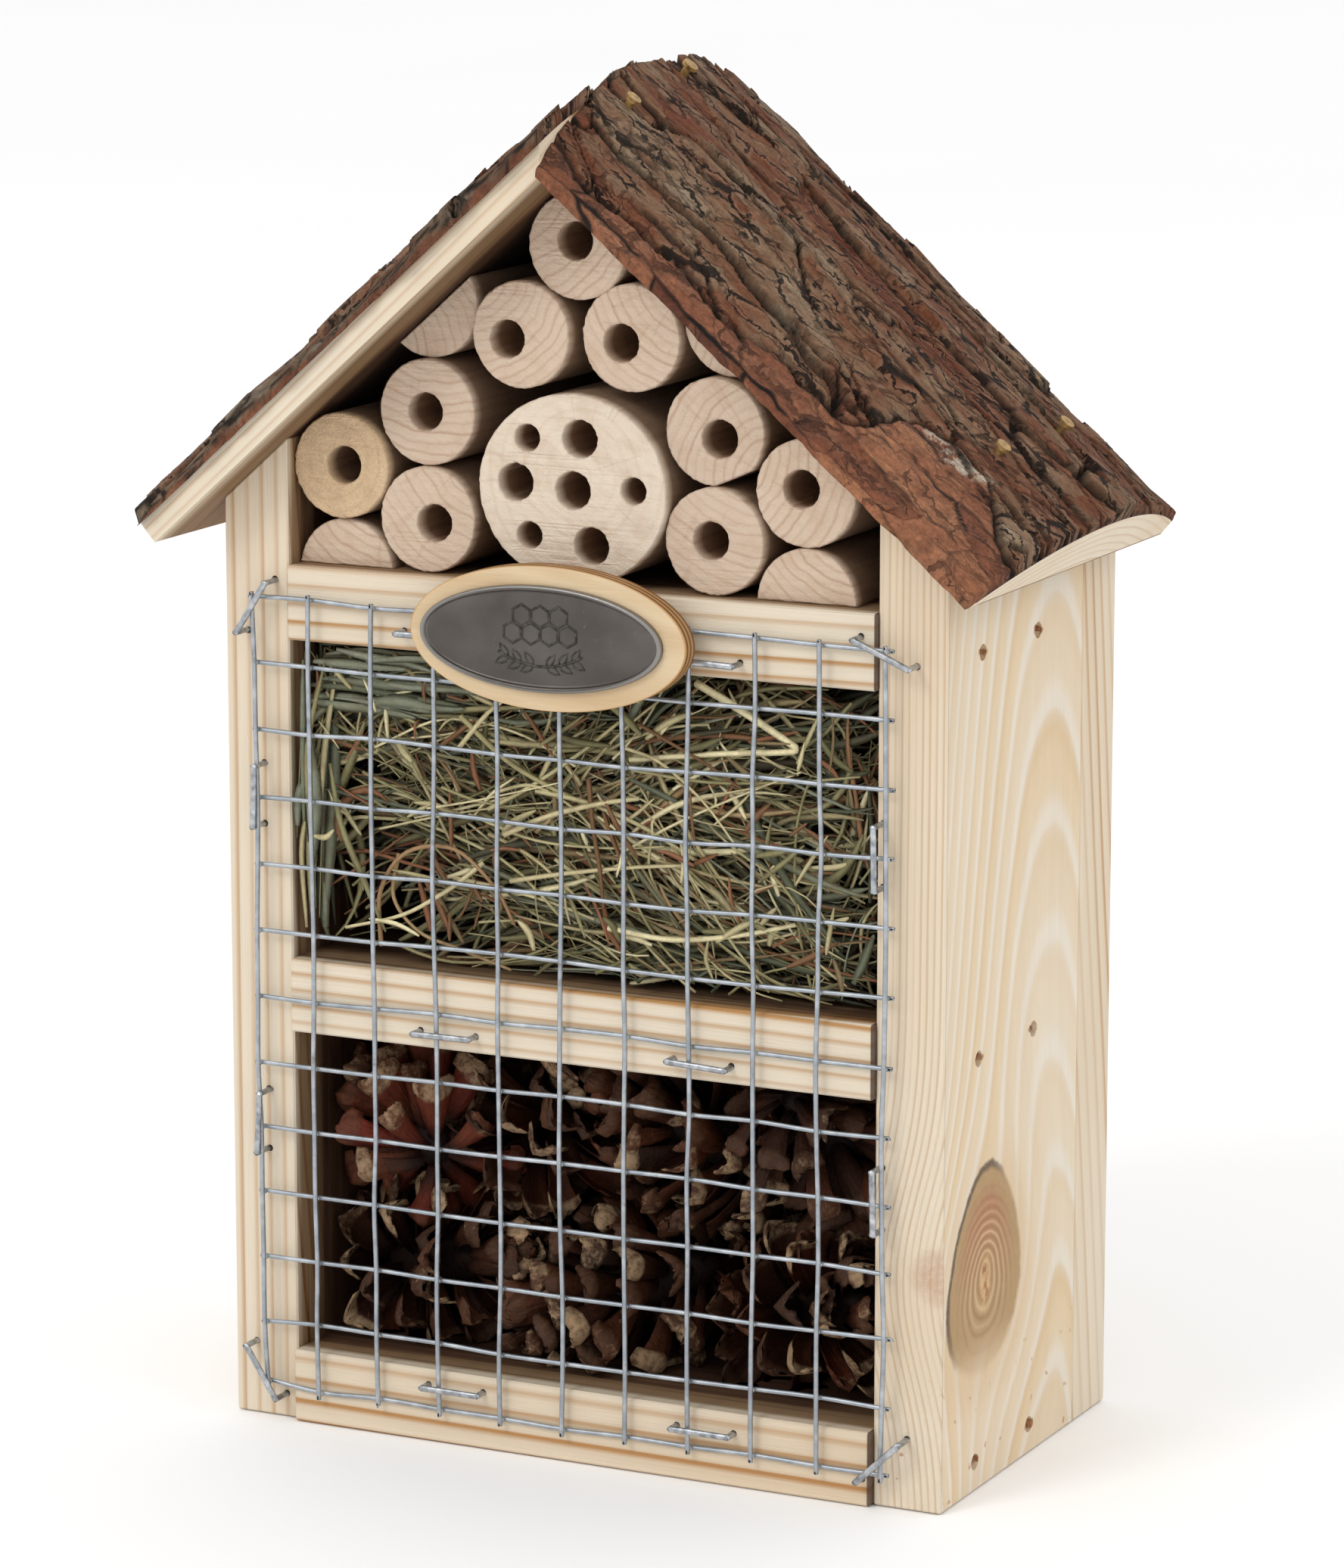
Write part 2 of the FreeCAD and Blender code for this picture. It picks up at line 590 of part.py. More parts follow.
faults = [thing.Name for thing in doc.Objects if {"Invalid", "Error"} & set(thing.State)]
faults += [name for name, piece in nodes.items() if piece.Shape.isNull() or not piece.Shape.isValid()]
if faults:
    raise RuntimeError(f"these need mending: {faults}")
os.makedirs("parts", exist_ok=True)
for name, piece in nodes.items():
    piece.Shape.exportStep(f"parts/{name}.step")
    room = piece.Shape.BoundBox
    print(f"{name:26} {len(piece.Shape.Solids):3} solids  {piece.Shape.Volume / 1000:8.2f} cm3  "
          f"x {room.XMin:7.2f} {room.XMax:7.2f}  y {room.YMin:7.2f} {room.YMax:7.2f}  "
          f"z {room.ZMin:7.2f} {room.ZMax:7.2f}")
print(len(nodes), "sub-parts written")
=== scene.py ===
import math

import bpy
import numpy as np
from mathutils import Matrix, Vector
from mathutils.geometry import tessellate_polygon


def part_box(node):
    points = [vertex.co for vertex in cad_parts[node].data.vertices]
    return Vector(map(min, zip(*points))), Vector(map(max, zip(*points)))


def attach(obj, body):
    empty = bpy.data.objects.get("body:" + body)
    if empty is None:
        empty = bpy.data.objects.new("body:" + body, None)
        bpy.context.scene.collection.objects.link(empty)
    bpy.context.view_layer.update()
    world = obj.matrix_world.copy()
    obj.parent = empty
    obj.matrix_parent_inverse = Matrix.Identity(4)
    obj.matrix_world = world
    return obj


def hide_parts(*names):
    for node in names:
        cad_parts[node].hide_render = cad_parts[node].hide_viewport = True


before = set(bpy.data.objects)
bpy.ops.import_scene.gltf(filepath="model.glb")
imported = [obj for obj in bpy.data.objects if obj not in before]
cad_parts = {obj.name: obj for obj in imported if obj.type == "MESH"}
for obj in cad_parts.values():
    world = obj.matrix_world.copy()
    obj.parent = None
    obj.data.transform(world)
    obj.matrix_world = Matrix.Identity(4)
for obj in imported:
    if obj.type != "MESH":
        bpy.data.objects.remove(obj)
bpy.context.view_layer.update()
MM = 0.001


# ======================================================================== The viewer's place
# The hotel is seen from its right-hand front corner and a little above, through a long lens,
# so its upright boards stay nearly parallel.
VIEW_TURN = math.radians(26.05)        # round to the hotel's right
VIEW_RISE = math.radians(11.5)
VIEW_DISTANCE = 1140 * MM
VIEW_TARGET = Vector((3.1, 33, 123.1)) * MM
LENS_LENGTH = 139.8

looking = Vector((-math.sin(VIEW_TURN) * math.cos(VIEW_RISE),
                  math.cos(VIEW_TURN) * math.cos(VIEW_RISE), -math.sin(VIEW_RISE)))
camera = bpy.data.objects.new("viewer", bpy.data.cameras.new("viewer"))
camera.data.lens = LENS_LENGTH
camera.data.clip_start = 0.05
camera.location = VIEW_TARGET - looking * VIEW_DISTANCE
camera.rotation_mode = "QUATERNION"
camera.rotation_quaternion = looking.to_track_quat("-Z", "Y")
bpy.context.scene.collection.objects.link(camera)
bpy.context.scene.camera = camera


# ======================================================================== Sides, back and shelves
# Sawn pine boards, unpainted: two sides and a thick back, with three shelves let in between them.
# They are nailed through the sides and the back, and keep their saw marks and one large knot.
class Flow:
    """A value, colour or vector inside a finish, so that shader maths reads as plain sums."""

    def __init__(self, tree, socket=None):
        self.tree = tree
        self.socket = socket

    def node(self, kind, settings=None, inputs=None, output=0):
        """Adds any node: its settings first, then the values or links of its sockets."""
        made = self.tree.nodes.new(kind)
        for name, setting in (settings or {}).items():
            if name == "stops":
                ramp = made.color_ramp
                for stop, _ in setting[2:]:
                    ramp.elements.new(stop)
                for element, (stop, shade) in zip(ramp.elements, sorted(setting, key=lambda pair: pair[0])):
                    element.position = stop
                    element.color = shade
            else:
                setattr(made, name, setting)
        for name, value in (inputs or {}).items():
            if isinstance(value, Flow):
                self.tree.links.new(value.socket, made.inputs[name])
            else:
                made.inputs[name].default_value = value
        return None if output is None else Flow(self.tree, made.outputs[output])

    def maths(self, operation, *values):
        return self.node("ShaderNodeMath", {"operation": operation}, dict(enumerate(values)))

    def __add__(self, other):
        return self.maths("ADD", self, other)

    def __sub__(self, other):
        return self.maths("SUBTRACT", self, other)

    def __mul__(self, other):
        return self.maths("MULTIPLY", self, other)

    def __truediv__(self, other):
        return self.maths("DIVIDE", self, other)

    def __pow__(self, other):
        return self.maths("POWER", self, other)

    def __radd__(self, other):
        return self.maths("ADD", other, self)

    def __rsub__(self, other):
        return self.maths("SUBTRACT", other, self)

    def __rmul__(self, other):
        return self.maths("MULTIPLY", other, self)

    def along(self, direction):
        """How far this vector reaches in a direction."""
        return self.node("ShaderNodeVectorMath", {"operation": "DOT_PRODUCT"},
                         {0: self, 1: tuple(direction)}, "Value")

    def step(self, low, high):
        """0 below low, 1 above high and smooth between; the other way round if low is above high."""
        return self.node("ShaderNodeMapRange", {"interpolation_type": "SMOOTHSTEP"},
                         {"Value": self, "From Min": low, "From Max": high})

    def cloud(self, scale=1.0, detail=2.0, roughness=0.5, distortion=0.0):
        """Soft noise from 0 to 1, with this vector as its place."""
        return self.node("ShaderNodeTexNoise", {}, {"Vector": self, "Scale": scale, "Detail": detail,
                                                    "Roughness": roughness, "Distortion": distortion})

    def ramp(self, *stops):
        """A colour picked along (value, colour) stops: the two ends first, then those between."""
        return self.node("ShaderNodeValToRGB", {"stops": stops}, {0: self})

    def blend(self, first, second):
        """A colour that goes from first to second as this value goes from 0 to 1."""
        return self.node("ShaderNodeMix", {"data_type": "RGBA"}, {0: self, 6: first, 7: second}, 2)

    def tinted(self, tint):
        """This colour seen through another."""
        return self.node("ShaderNodeVectorMath", {"operation": "MULTIPLY"}, {0: self, 1: tint[:3]})

    def shaded(self, light):
        """This colour made lighter or darker by a value."""
        return self.node("ShaderNodeVectorMath", {"operation": "SCALE"}, {0: self, "Scale": light})

    def tone(self, name):
        """A value that the mesh carries from point to point."""
        return self.node("ShaderNodeAttribute", {"attribute_name": name}, output="Fac")

    def joined(self, across, deep, tall):
        """A place made of three values."""
        return self.node("ShaderNodeCombineXYZ", {}, {0: across, 1: deep, 2: tall})

    def relief(self, height, strength=1.0):
        """A surface direction from a height in metres."""
        return self.node("ShaderNodeBump", {}, {"Strength": strength, "Distance": 1.0, "Height": height})


def colour(code):
    """A colour as the shader wants it, from its everyday six-figure code."""
    parts = [int(code[place:place + 2], 16) / 255 for place in (0, 2, 4)]
    return (*[part / 12.92 if part <= 0.04045 else ((part + 0.055) / 1.055) ** 2.4 for part in parts], 1.0)


def finish(name, paint):
    """A material: paint takes the place on the piece, in metres, and gives the shader's inputs."""
    material = bpy.data.materials.new(name)
    material.use_nodes = True
    material.node_tree.nodes.clear()
    place = Flow(material.node_tree).node("ShaderNodeTexCoord", output="Object")
    surface = place.node("ShaderNodeBsdfPrincipled", inputs=paint(place))
    place.node("ShaderNodeOutputMaterial", inputs={"Surface": surface}, output=None)
    return material


def coat(node, material):
    """Puts a finish on a CAD piece."""
    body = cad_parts[node]
    body.data.materials.clear()
    body.data.materials.append(material)


RING_WIDTH = 2.3 * MM                  # one year's growth
EARLY_WOOD = colour("DACDB8")
LATE_WOOD = colour("B0834F")
HONEY_WOOD = colour("D6BD96")
KNOT_WOOD = colour("A98A60")
KNOT_BLUSH = colour("A5684A")
KNOT_RIM = colour("4B382A")
CHAMBER_HALF = 60.3 * MM               # the boards' inner faces are this far from the middle
BOARD_EDGE = 0.45 * MM                 # how deep the planed front edge reaches


def pine_paint(grain, toward_pith, aside, pith, lean=0.0, seed=0.0, ring=RING_WIDTH, depth=0.9,
               broad=0.0, drift_size=1.0, edge=None, knots=(), nails=(), gap=None, soffit=None):
    """Growth rings round a pith line that runs along the grain, with fibres, knots and nail holes.

    grain, toward_pith and aside are the board's three directions; pith is how far the pith lies in the
    last two, and lean tilts it, which is what opens cathedral arches on a flat-sawn face. broad turns
    thin late-wood lines into wide honey bands; edge is (ring width, depth, knot pull) for straight
    lines up the front edge; gap is where a dark line shows across the front, the shelf's end grain
    with painted shadow of the joint; soffit is the level of a sawn underside greyed with painted shade.
    """
    def paint(place):
        run = place.along(grain)
        deep = place.along(toward_pith) - pith[0]
        wide = place.along(aside) - pith[1]
        across, back = place.along(ACROSS), place.along(BACKWARD)
        near_knot = None
        for knot_run, knot_wide, half_run, half_wide in knots:
            off_run = run - knot_run
            off_wide = wide + pith[1] - knot_wide
            egg = off_wide / (1 - off_run * 11.0) - off_run * 0.06
            smooth_away = ((off_run / half_run) ** 2.0 + (egg / half_wide) ** 2.0) ** 0.5
            away = smooth_away + place.cloud(260.0, 3.0) * 0.1 - 0.05
            pushed = place.maths("EXPONENT", away * away * -0.4)
            wide = wide - off_wide * pushed * 0.97
            near_knot = (away, smooth_away + place.cloud(90.0, 2.0) * 0.1, off_run, off_wide)
        drift = place.joined(wide * 26.0, deep * 26.0, run * 7.0 + seed).cloud(1.0, 2.0) - 0.5
        slow = place.joined(wide * 8.0, deep * 8.0, run * 3.0 + seed * 2.0).cloud(1.0, 1.0) - 0.5
        tilted = deep + run * lean
        far = (tilted * tilted + wide * wide) ** 0.5 + (drift * 0.0024 + slow * 0.007) * drift_size
        year = far / ring
        if edge:
            line_width, line_depth, pull = edge
            swing = place.maths("EXPONENT", ((run - 0.043) / 0.024) ** 2.0 * -1.0) * pull
            edge_year = (across + swing + drift * 0.0012) / line_width
            on_edge = back.step(BOARD_EDGE, BOARD_EDGE * 0.7)
            year = year + (edge_year - year) * on_edge
        part = place.maths("FRACT", year)
        thin = part.ramp((0.0, (0.25, 0.25, 0.25, 1)), (1.0, (0.3, 0.3, 0.3, 1)), (0.16, (0.0, 0.0, 0.0, 1)),
                         (0.62, (0.12, 0.12, 0.12, 1)), (0.84, (0.9, 0.9, 0.9, 1)), (0.93, (1, 1, 1, 1)))
        whole = place.maths("FLOOR", year)
        this_year = place.node("ShaderNodeTexWhiteNoise", {"noise_dimensions": "1D"}, {"W": whole + seed})
        fibre = place.joined(wide * 2600.0, deep * 2600.0, run * 60.0 + seed).cloud(1.0, 3.0, 0.6)
        streak = place.joined(wide * 420.0, deep * 420.0, run * 9.0 + seed).cloud(1.0, 2.0)
        late = place.maths("MINIMUM", thin * (this_year * 0.8 + 0.45) * depth * (streak * 0.8 + 0.65), 1.0)
        tone = late.blend(EARLY_WOOD, LATE_WOOD)
        if broad:
            band = part.ramp((0.0, (0.0, 0.0, 0.0, 1)), (1.0, (0.0, 0.0, 0.0, 1)), (0.1, (0.0, 0.0, 0.0, 1)),
                             (0.3, (0.75, 0.75, 0.75, 1)), (0.82, (1, 1, 1, 1)), (0.93, (0.6, 0.6, 0.6, 1)))
            band = band * (this_year * 0.5 + 0.5) * broad * (1 - on_edge)
            tone = (late * 0.12).blend(band.blend(colour("DDD3C3"), HONEY_WOOD), LATE_WOOD)
            tone = on_edge.blend(tone, (late * line_depth).blend(EARLY_WOOD, colour("B9966E")))
        warm = place.joined(wide * 22.0, deep * 22.0, run * 6.0 + seed * 3.0).cloud(1.0, 2.0).step(0.4, 0.75)
        tone = (warm * 0.35).blend(tone, tone.tinted(colour("E8CDA6")))
        tone = tone.shaded(fibre * 0.13 + streak * 0.1 + 0.9)
        height = fibre * 0.00014 + late * 0.00006
        if near_knot:
            away, smooth_away, off_run, off_wide = near_knot
            swell = off_run * 24.0 + smooth_away * (1 - off_run * 8.0)
            turns = place.maths("SINE", swell * 50.0) * 0.5 + 0.5
            torn = place.cloud(520.0, 5.0, 0.75)
            upper = (off_run * 60.0 + drift * 2.0).step(-0.5, 0.9) * away.step(0.9, 0.55)
            knot = (upper * 0.75).blend(KNOT_WOOD, KNOT_BLUSH)
            knot = (turns ** 4.0 * away.step(0.8, 0.3) * 0.6).blend(knot, colour("D2B68F"))
            knot = ((1 - turns) ** 5.0 * away.step(1.0, 0.5) * 0.5).blend(knot, colour("8A6144"))
            heart = ((off_run / half_run + 0.14) ** 2.0 + (off_wide / half_wide) ** 2.0 * 4.0) ** 0.5
            knot = (heart.step(0.42, 0.1) * torn.step(0.42, 0.62)).blend(knot, colour("C9A170"))
            knot = (heart.step(0.3, 0.05) * torn.step(0.5, 0.38)).blend(knot, colour("9A5530"))
            knot = knot.shaded(torn * 0.3 + fibre * 0.1 + 0.8)
            corner = (off_run * 40.0 - off_wide * 55.0).step(-0.1, 0.7)
            rim = away.step(0.92, 0.98) * away.step(1.05, 1.0) * corner * torn.step(0.3, 0.45)
            halo = away.step(1.6, 1.0) * (1 - corner * 0.6)
            tone = (halo * 0.45).blend(tone, colour("CBAB82"))
            soft_end = (off_run * 60.0).step(-1.3, -0.6)
            tone = (away.step(1.04, 0.94) * (soft_end * 0.8 + 0.2)).blend(tone, knot)
            tone = (rim * 0.85).blend(tone, KNOT_RIM)
            blush_off = ((off_run - 0.003) / 0.006) ** 2.0 + ((across - 0.0735) / 0.007) ** 2.0
            blush = blush_off.step(1.2, 0.2) * on_edge * torn.step(0.2, 0.6)
            tone = (blush * 0.5).blend(tone, colour("AD7F62"))
            flecks = place.cloud(420.0, 2.0, 0.4).step(0.68, 0.74) * run.step(0.03, 0.012)
            tone = (flecks * 0.7).blend(tone, colour("AD7440"))
            height = height + away.step(1.04, 0.98) * 0.0001 - rim * 0.0003
        for nail_back, nail_run in nails:
            gone = (((back - nail_back) ** 2.0 + ((run - nail_run) * 2.0) ** 2.0) ** 0.5
                    + place.cloud(520.0, 4.0) * 0.004 - 0.002)
            tone = (gone.step(0.0024, 0.0014) * 0.85).blend(tone, colour("A8682F"))
            height = height - gone.step(0.0022, 0.001) * 0.0006
        # Painted shade inside the chambers: the faces between the side boards darken from the front edge
        # back, and more in streaks.
        inside = (place.maths("ABSOLUTE", across).step(CHAMBER_HALF + 0.3 * MM, CHAMBER_HALF)
                  * back.step(63.4 * MM, 62.8 * MM))
        tone = (inside * back.step(0.3 * MM, 2.5 * MM)).blend(tone, tone.tinted(colour("B39C82")))
        tone = (inside * back.step(2 * MM, 14 * MM)).blend(tone, tone.tinted(colour("80674E")))
        inner_streaks = place.joined(run * 7.0, back * 420.0, seed).cloud(1.0, 2.0).step(0.5, 0.62)
        tone = (inside * inner_streaks * back.step(0.8 * MM, 3 * MM) * 0.65).blend(tone, tone.tinted(colour("80583C")))
        if soffit:
            # Painted shade: the slab's sawn underside is greyed behind its front edge.
            sawn = (deep + pith[0] - soffit).step(0.5 * MM, 0.2 * MM) * back.step(-10.5 * MM, -5 * MM)
            tone = sawn.blend(tone, tone.tinted(colour("A08A70")))
        if gap:
            # Painted shadow: a dark line at the shelf's end, its end grain darkened as the shadow of the
            # joint beside the side board.
            joint = across.step(gap, gap + 0.25 * MM)
            tone = (joint * 0.9).blend(tone, colour("4A3222"))
        return {"Base Color": tone, "Roughness": fibre * 0.15 + 0.64, "Normal": place.relief(height)}
    return paint


UP, ACROSS, BACKWARD = (0, 0, 1), (1, 0, 0), (0, 1, 0)
NAIL_LEVELS = [up * MM for up in (5.6, 81.8, 156.6)]
NAIL_PLACES = [(back * MM, level) for back in (15.5, 41) for level in NAIL_LEVELS]
SHELF_END = 59.35 * MM
pine = {
    "left_side_board": finish("pine_left_side", pine_paint(
        UP, ACROSS, BACKWARD, (-0.115, 0.04), lean=-0.1, seed=3.1, edge=(3.1 * MM, 1.0, 0.0),
        nails=NAIL_PLACES)),
    "right_side_board": finish("pine_right_side", pine_paint(
        UP, ACROSS, BACKWARD, (0.036, 0.047), lean=0.13, seed=7.7, ring=2.6 * MM, broad=0.95,
        edge=(1.35 * MM, 0.55, 0.007), knots=[(0.0415, 0.0195, 0.0195, 0.0165)], nails=NAIL_PLACES)),
    "back_board": finish("pine_back", pine_paint(
        UP, BACKWARD, ACROSS, (0.018, 0.012), lean=0.12, seed=11.3, ring=2.8 * MM, depth=0.6)),
    "floor_shelf": finish("pine_floor", pine_paint(
        ACROSS, UP, BACKWARD, (-0.1, 0.02), lean=0.01, seed=5.9, ring=4.1 * MM, depth=1.1, drift_size=0.3,
        gap=SHELF_END)),
    "middle_shelf": finish("pine_middle", pine_paint(
        ACROSS, UP, BACKWARD, (-0.035, 0.03), lean=0.01, seed=9.2, ring=3.0 * MM, drift_size=0.35,
        gap=SHELF_END)),
    "upper_shelf": finish("pine_upper", pine_paint(
        ACROSS, UP, BACKWARD, (0.035, 0.02), lean=-0.01, seed=2.4, ring=3.4 * MM, depth=0.75,
        drift_size=0.35, gap=SHELF_END)),
}
for board, wood in pine.items():
    coat(board, wood)


# ======================================================================== Roof slabs
# Two slabs sawn off the side of a log, flat below and round above, mitred plumb where they meet
# at the ridge. The wood shows at the front edge, the eaves and underneath; the bark is left on.
RIDGE = Vector((-1.5, 0, 240.6)) * MM
EAVE_HEIGHT = 169.3 * MM
EAVE_REACH = 82 * MM
ROOF_FRONT = -11.2 * MM
ROOF_BACK = 79.4 * MM


def slope(side):
    """A roof side's directions: down the slope and square out of it, and the slope's length."""
    sign = 1 if side == "right" else -1
    run = EAVE_REACH - sign * RIDGE.x
    down = Vector((sign * run, 0, EAVE_HEIGHT - RIDGE.z))
    return down.normalized(), Vector((sign * -down.z, 0, sign * down.x)).normalized(), down.length


for side, seed in (("left", 4.4), ("right", 8.1)):
    down, out, _ = slope(side)
    pith = RIDGE.dot(out) - 0.1
    coat(f"{side}_roof_slab", finish(f"slab_wood_{side}", pine_paint(
        down, out, BACKWARD, (pith, 0.034), lean=0.01, seed=seed, ring=2.0 * MM, depth=0.4,
        soffit=RIDGE.dot(out))))


# ======================================================================== Bark
# The log's own bark, still grown onto the slabs: long grey-brown plates split by black fissures,
# flaking in thin layers that show red underneath, and worn to a red-brown skin along the front edge.
LOG_RADIUS = {"left": 150 * MM, "right": 112 * MM}
LOG_CROWN = {"left": 30 * MM, "right": 38 * MM}
SLAB_RISE = {"left": 10.2 * MM, "right": 11.3 * MM}
WORN_BAND = {"left": 0.4, "right": 6.5}         # mm back from the front edge
BARK_DEPTH = {"left": 1.3, "right": 0.95}       # how deep the relief goes
BARK_LIP = {"left": 1.3 * MM, "right": 4.2 * MM}    # how far back the front edge is rounded off
NAIL_SPOTS = ((89, 20), (89, 48), (-3.5, 15), (-7, 41))     # mm down the slope and back
BARK_GRID = 0.45 * MM
EDGE_ZONE, EDGE_GRID = 2.4 * MM, 0.16 * MM      # closer points where the front edge is rounded off


def scatter(first, second, seed):
    """A fixed random number from 0 to 1 for each pair of whole numbers."""
    mixed = (first.astype(np.int64) * 374761393 + second.astype(np.int64) * 668265263 + seed * 974634777)
    mixed = (mixed ^ (mixed >> 13)) * 1274126177
    return ((mixed ^ (mixed >> 16)) & 0xFFFFFF) / 0xFFFFFF


def waves(first, second, seed, octaves=1):
    """Smooth noise from about -1 to 1 over a plane."""
    total, size, reach = 0.0, 1.0, 0.0
    for octave in range(octaves):
        low_a, low_b = np.floor(first), np.floor(second)
        part_a, part_b = first - low_a, second - low_b
        ease_a, ease_b = part_a ** 2 * (3 - 2 * part_a), part_b ** 2 * (3 - 2 * part_b)
        corner = [[scatter(low_a + step_a, low_b + step_b, seed + octave) for step_b in (0, 1)]
                  for step_a in (0, 1)]
        near = corner[0][0] * (1 - ease_b) + corner[0][1] * ease_b
        far = corner[1][0] * (1 - ease_b) + corner[1][1] * ease_b
        total = total + size * (2 * (near * (1 - ease_a) + far * ease_a) - 1)
        reach += size
        first, second, size = first * 2.03 + 7.1, second * 2.03 + 3.7, size * 0.55
    return total / reach * 1.25


def ease(value, low, high):
    part = np.clip((value - low) / (high - low), 0, 1)
    return part * part * (3 - 2 * part)


def make_piece(name, points, faces, material, slot, stands_for=(), smooth=True, tones=None):
    """A shown piece: its mesh, finish, extra tones by point, and its place in the frame."""
    mesh = bpy.data.meshes.new(name)
    mesh.from_pydata([tuple(point) for point in points], [], [tuple(face) for face in faces])
    mesh.update()
    if smooth:
        mesh.shade_smooth()
    for tone, values in (tones or {}).items():
        layer = mesh.attributes.new(tone, "FLOAT", "POINT")
        layer.data.foreach_set("value", np.asarray(values, dtype=np.float32))
    mesh.materials.append(material)
    piece = bpy.data.objects.new(name, mesh)
    bpy.context.scene.collection.objects.link(piece)
    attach(piece, "root")
    if stands_for:
        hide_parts(*stands_for)
    return piece


def grid_faces(rows, columns, start=0, flip=False):
    """Four-sided faces over a grid of points laid row by row."""
    index = start + np.arange(rows * columns).reshape(rows, columns)
    faces = np.stack([index[:-1, :-1], index[1:, :-1], index[1:, 1:], index[:-1, 1:]], axis=-1).reshape(-1, 4)
    return faces[:, ::-1] if flip else faces


def plates(run, back, long, wide, seed):
    """Ragged plates over a plane in mm: each one's number, how far its border is, and its tilt."""
    run, back = run / long, back / wide
    spots = []
    for step_run in (-1, 0, 1):
        for step_back in (-1, 0, 1):
            cell = np.floor(run) + step_run, np.floor(back) + step_back
            spots.append((cell[0] + scatter(*cell, seed), cell[1] + scatter(*cell, seed + 71),
                          scatter(*cell, seed + 142)))
    spot_run, spot_back, number = (np.stack(values) for values in zip(*spots))
    away = (run - spot_run) ** 2 + (back - spot_back) ** 2
    order = np.argsort(away, axis=0)[:2]
    spot_run, spot_back, number, away = (np.take_along_axis(values, order, 0)
                                         for values in (spot_run, spot_back, number, away))
    steepness = np.hypot((spot_run[1] - spot_run[0]) / long, (spot_back[1] - spot_back[0]) / wide)
    tilt = ((run - spot_run[0]) * (number[0] * 7.3 % 1 - 0.5)
            + (back - spot_back[0]) * (number[0] * 13.7 % 1 - 0.5))
    return number[0], (away[1] - away[0]) / (2 * steepness + 1e-6), tilt * 2


def bark_relief(run, back, seed):
    """Bark height over the wood in mm, with crack, layer and edge tones, at places in mm."""
    slant = back + run * 0.1
    bent_run = run + 7 * waves(run / 30, slant / 8, seed + 1, 4)
    bent_back = (slant + 2.6 * waves(run / 26, slant / 15, seed + 2, 4)
                 + 0.45 * waves(run / 3.5, slant / 2.5, seed + 9, 3))
    big, big_gap, big_tilt = plates(bent_run, bent_back, 66, 13, seed + 3)
    middling, middling_gap, middling_tilt = plates(bent_run, bent_back, 30, 7.5, seed + 4)
    thin, thin_gap, thin_tilt = plates(bent_run, bent_back, 13, 4.2, seed + 5)
    openness = 0.3 + 1.2 * ease(waves(run / 45, slant / 14, seed + 6, 2), -0.5, 0.5)
    crack = 1 - ease(big_gap, 0.35 * openness, 0.95 * openness)
    fine = (1 - ease(middling_gap, 0.1, 0.42)) * ease(waves(run / 19, slant / 9, seed + 8), -0.3, 0.3)
    edge = (1 - ease(thin_gap, 0.0, 0.45)) * ease(waves(run / 15, slant / 8, seed + 11), -0.4, 0.4)
    height = 1.5 * big + 1.0 * big_tilt + 1.1 * middling + 1.0 * middling_tilt + 0.4 * thin + 0.35 * thin_tilt
    height += 0.6 * waves(run / 25, slant / 10, seed + 7, 2) - 1.4 - 2.6 * crack - 0.8 * fine
    layer = np.clip(0.35 * big + 0.4 * middling + 0.25 * thin, 0, 1)
    return height, np.clip(crack + 0.8 * fine, 0, 1), layer, edge


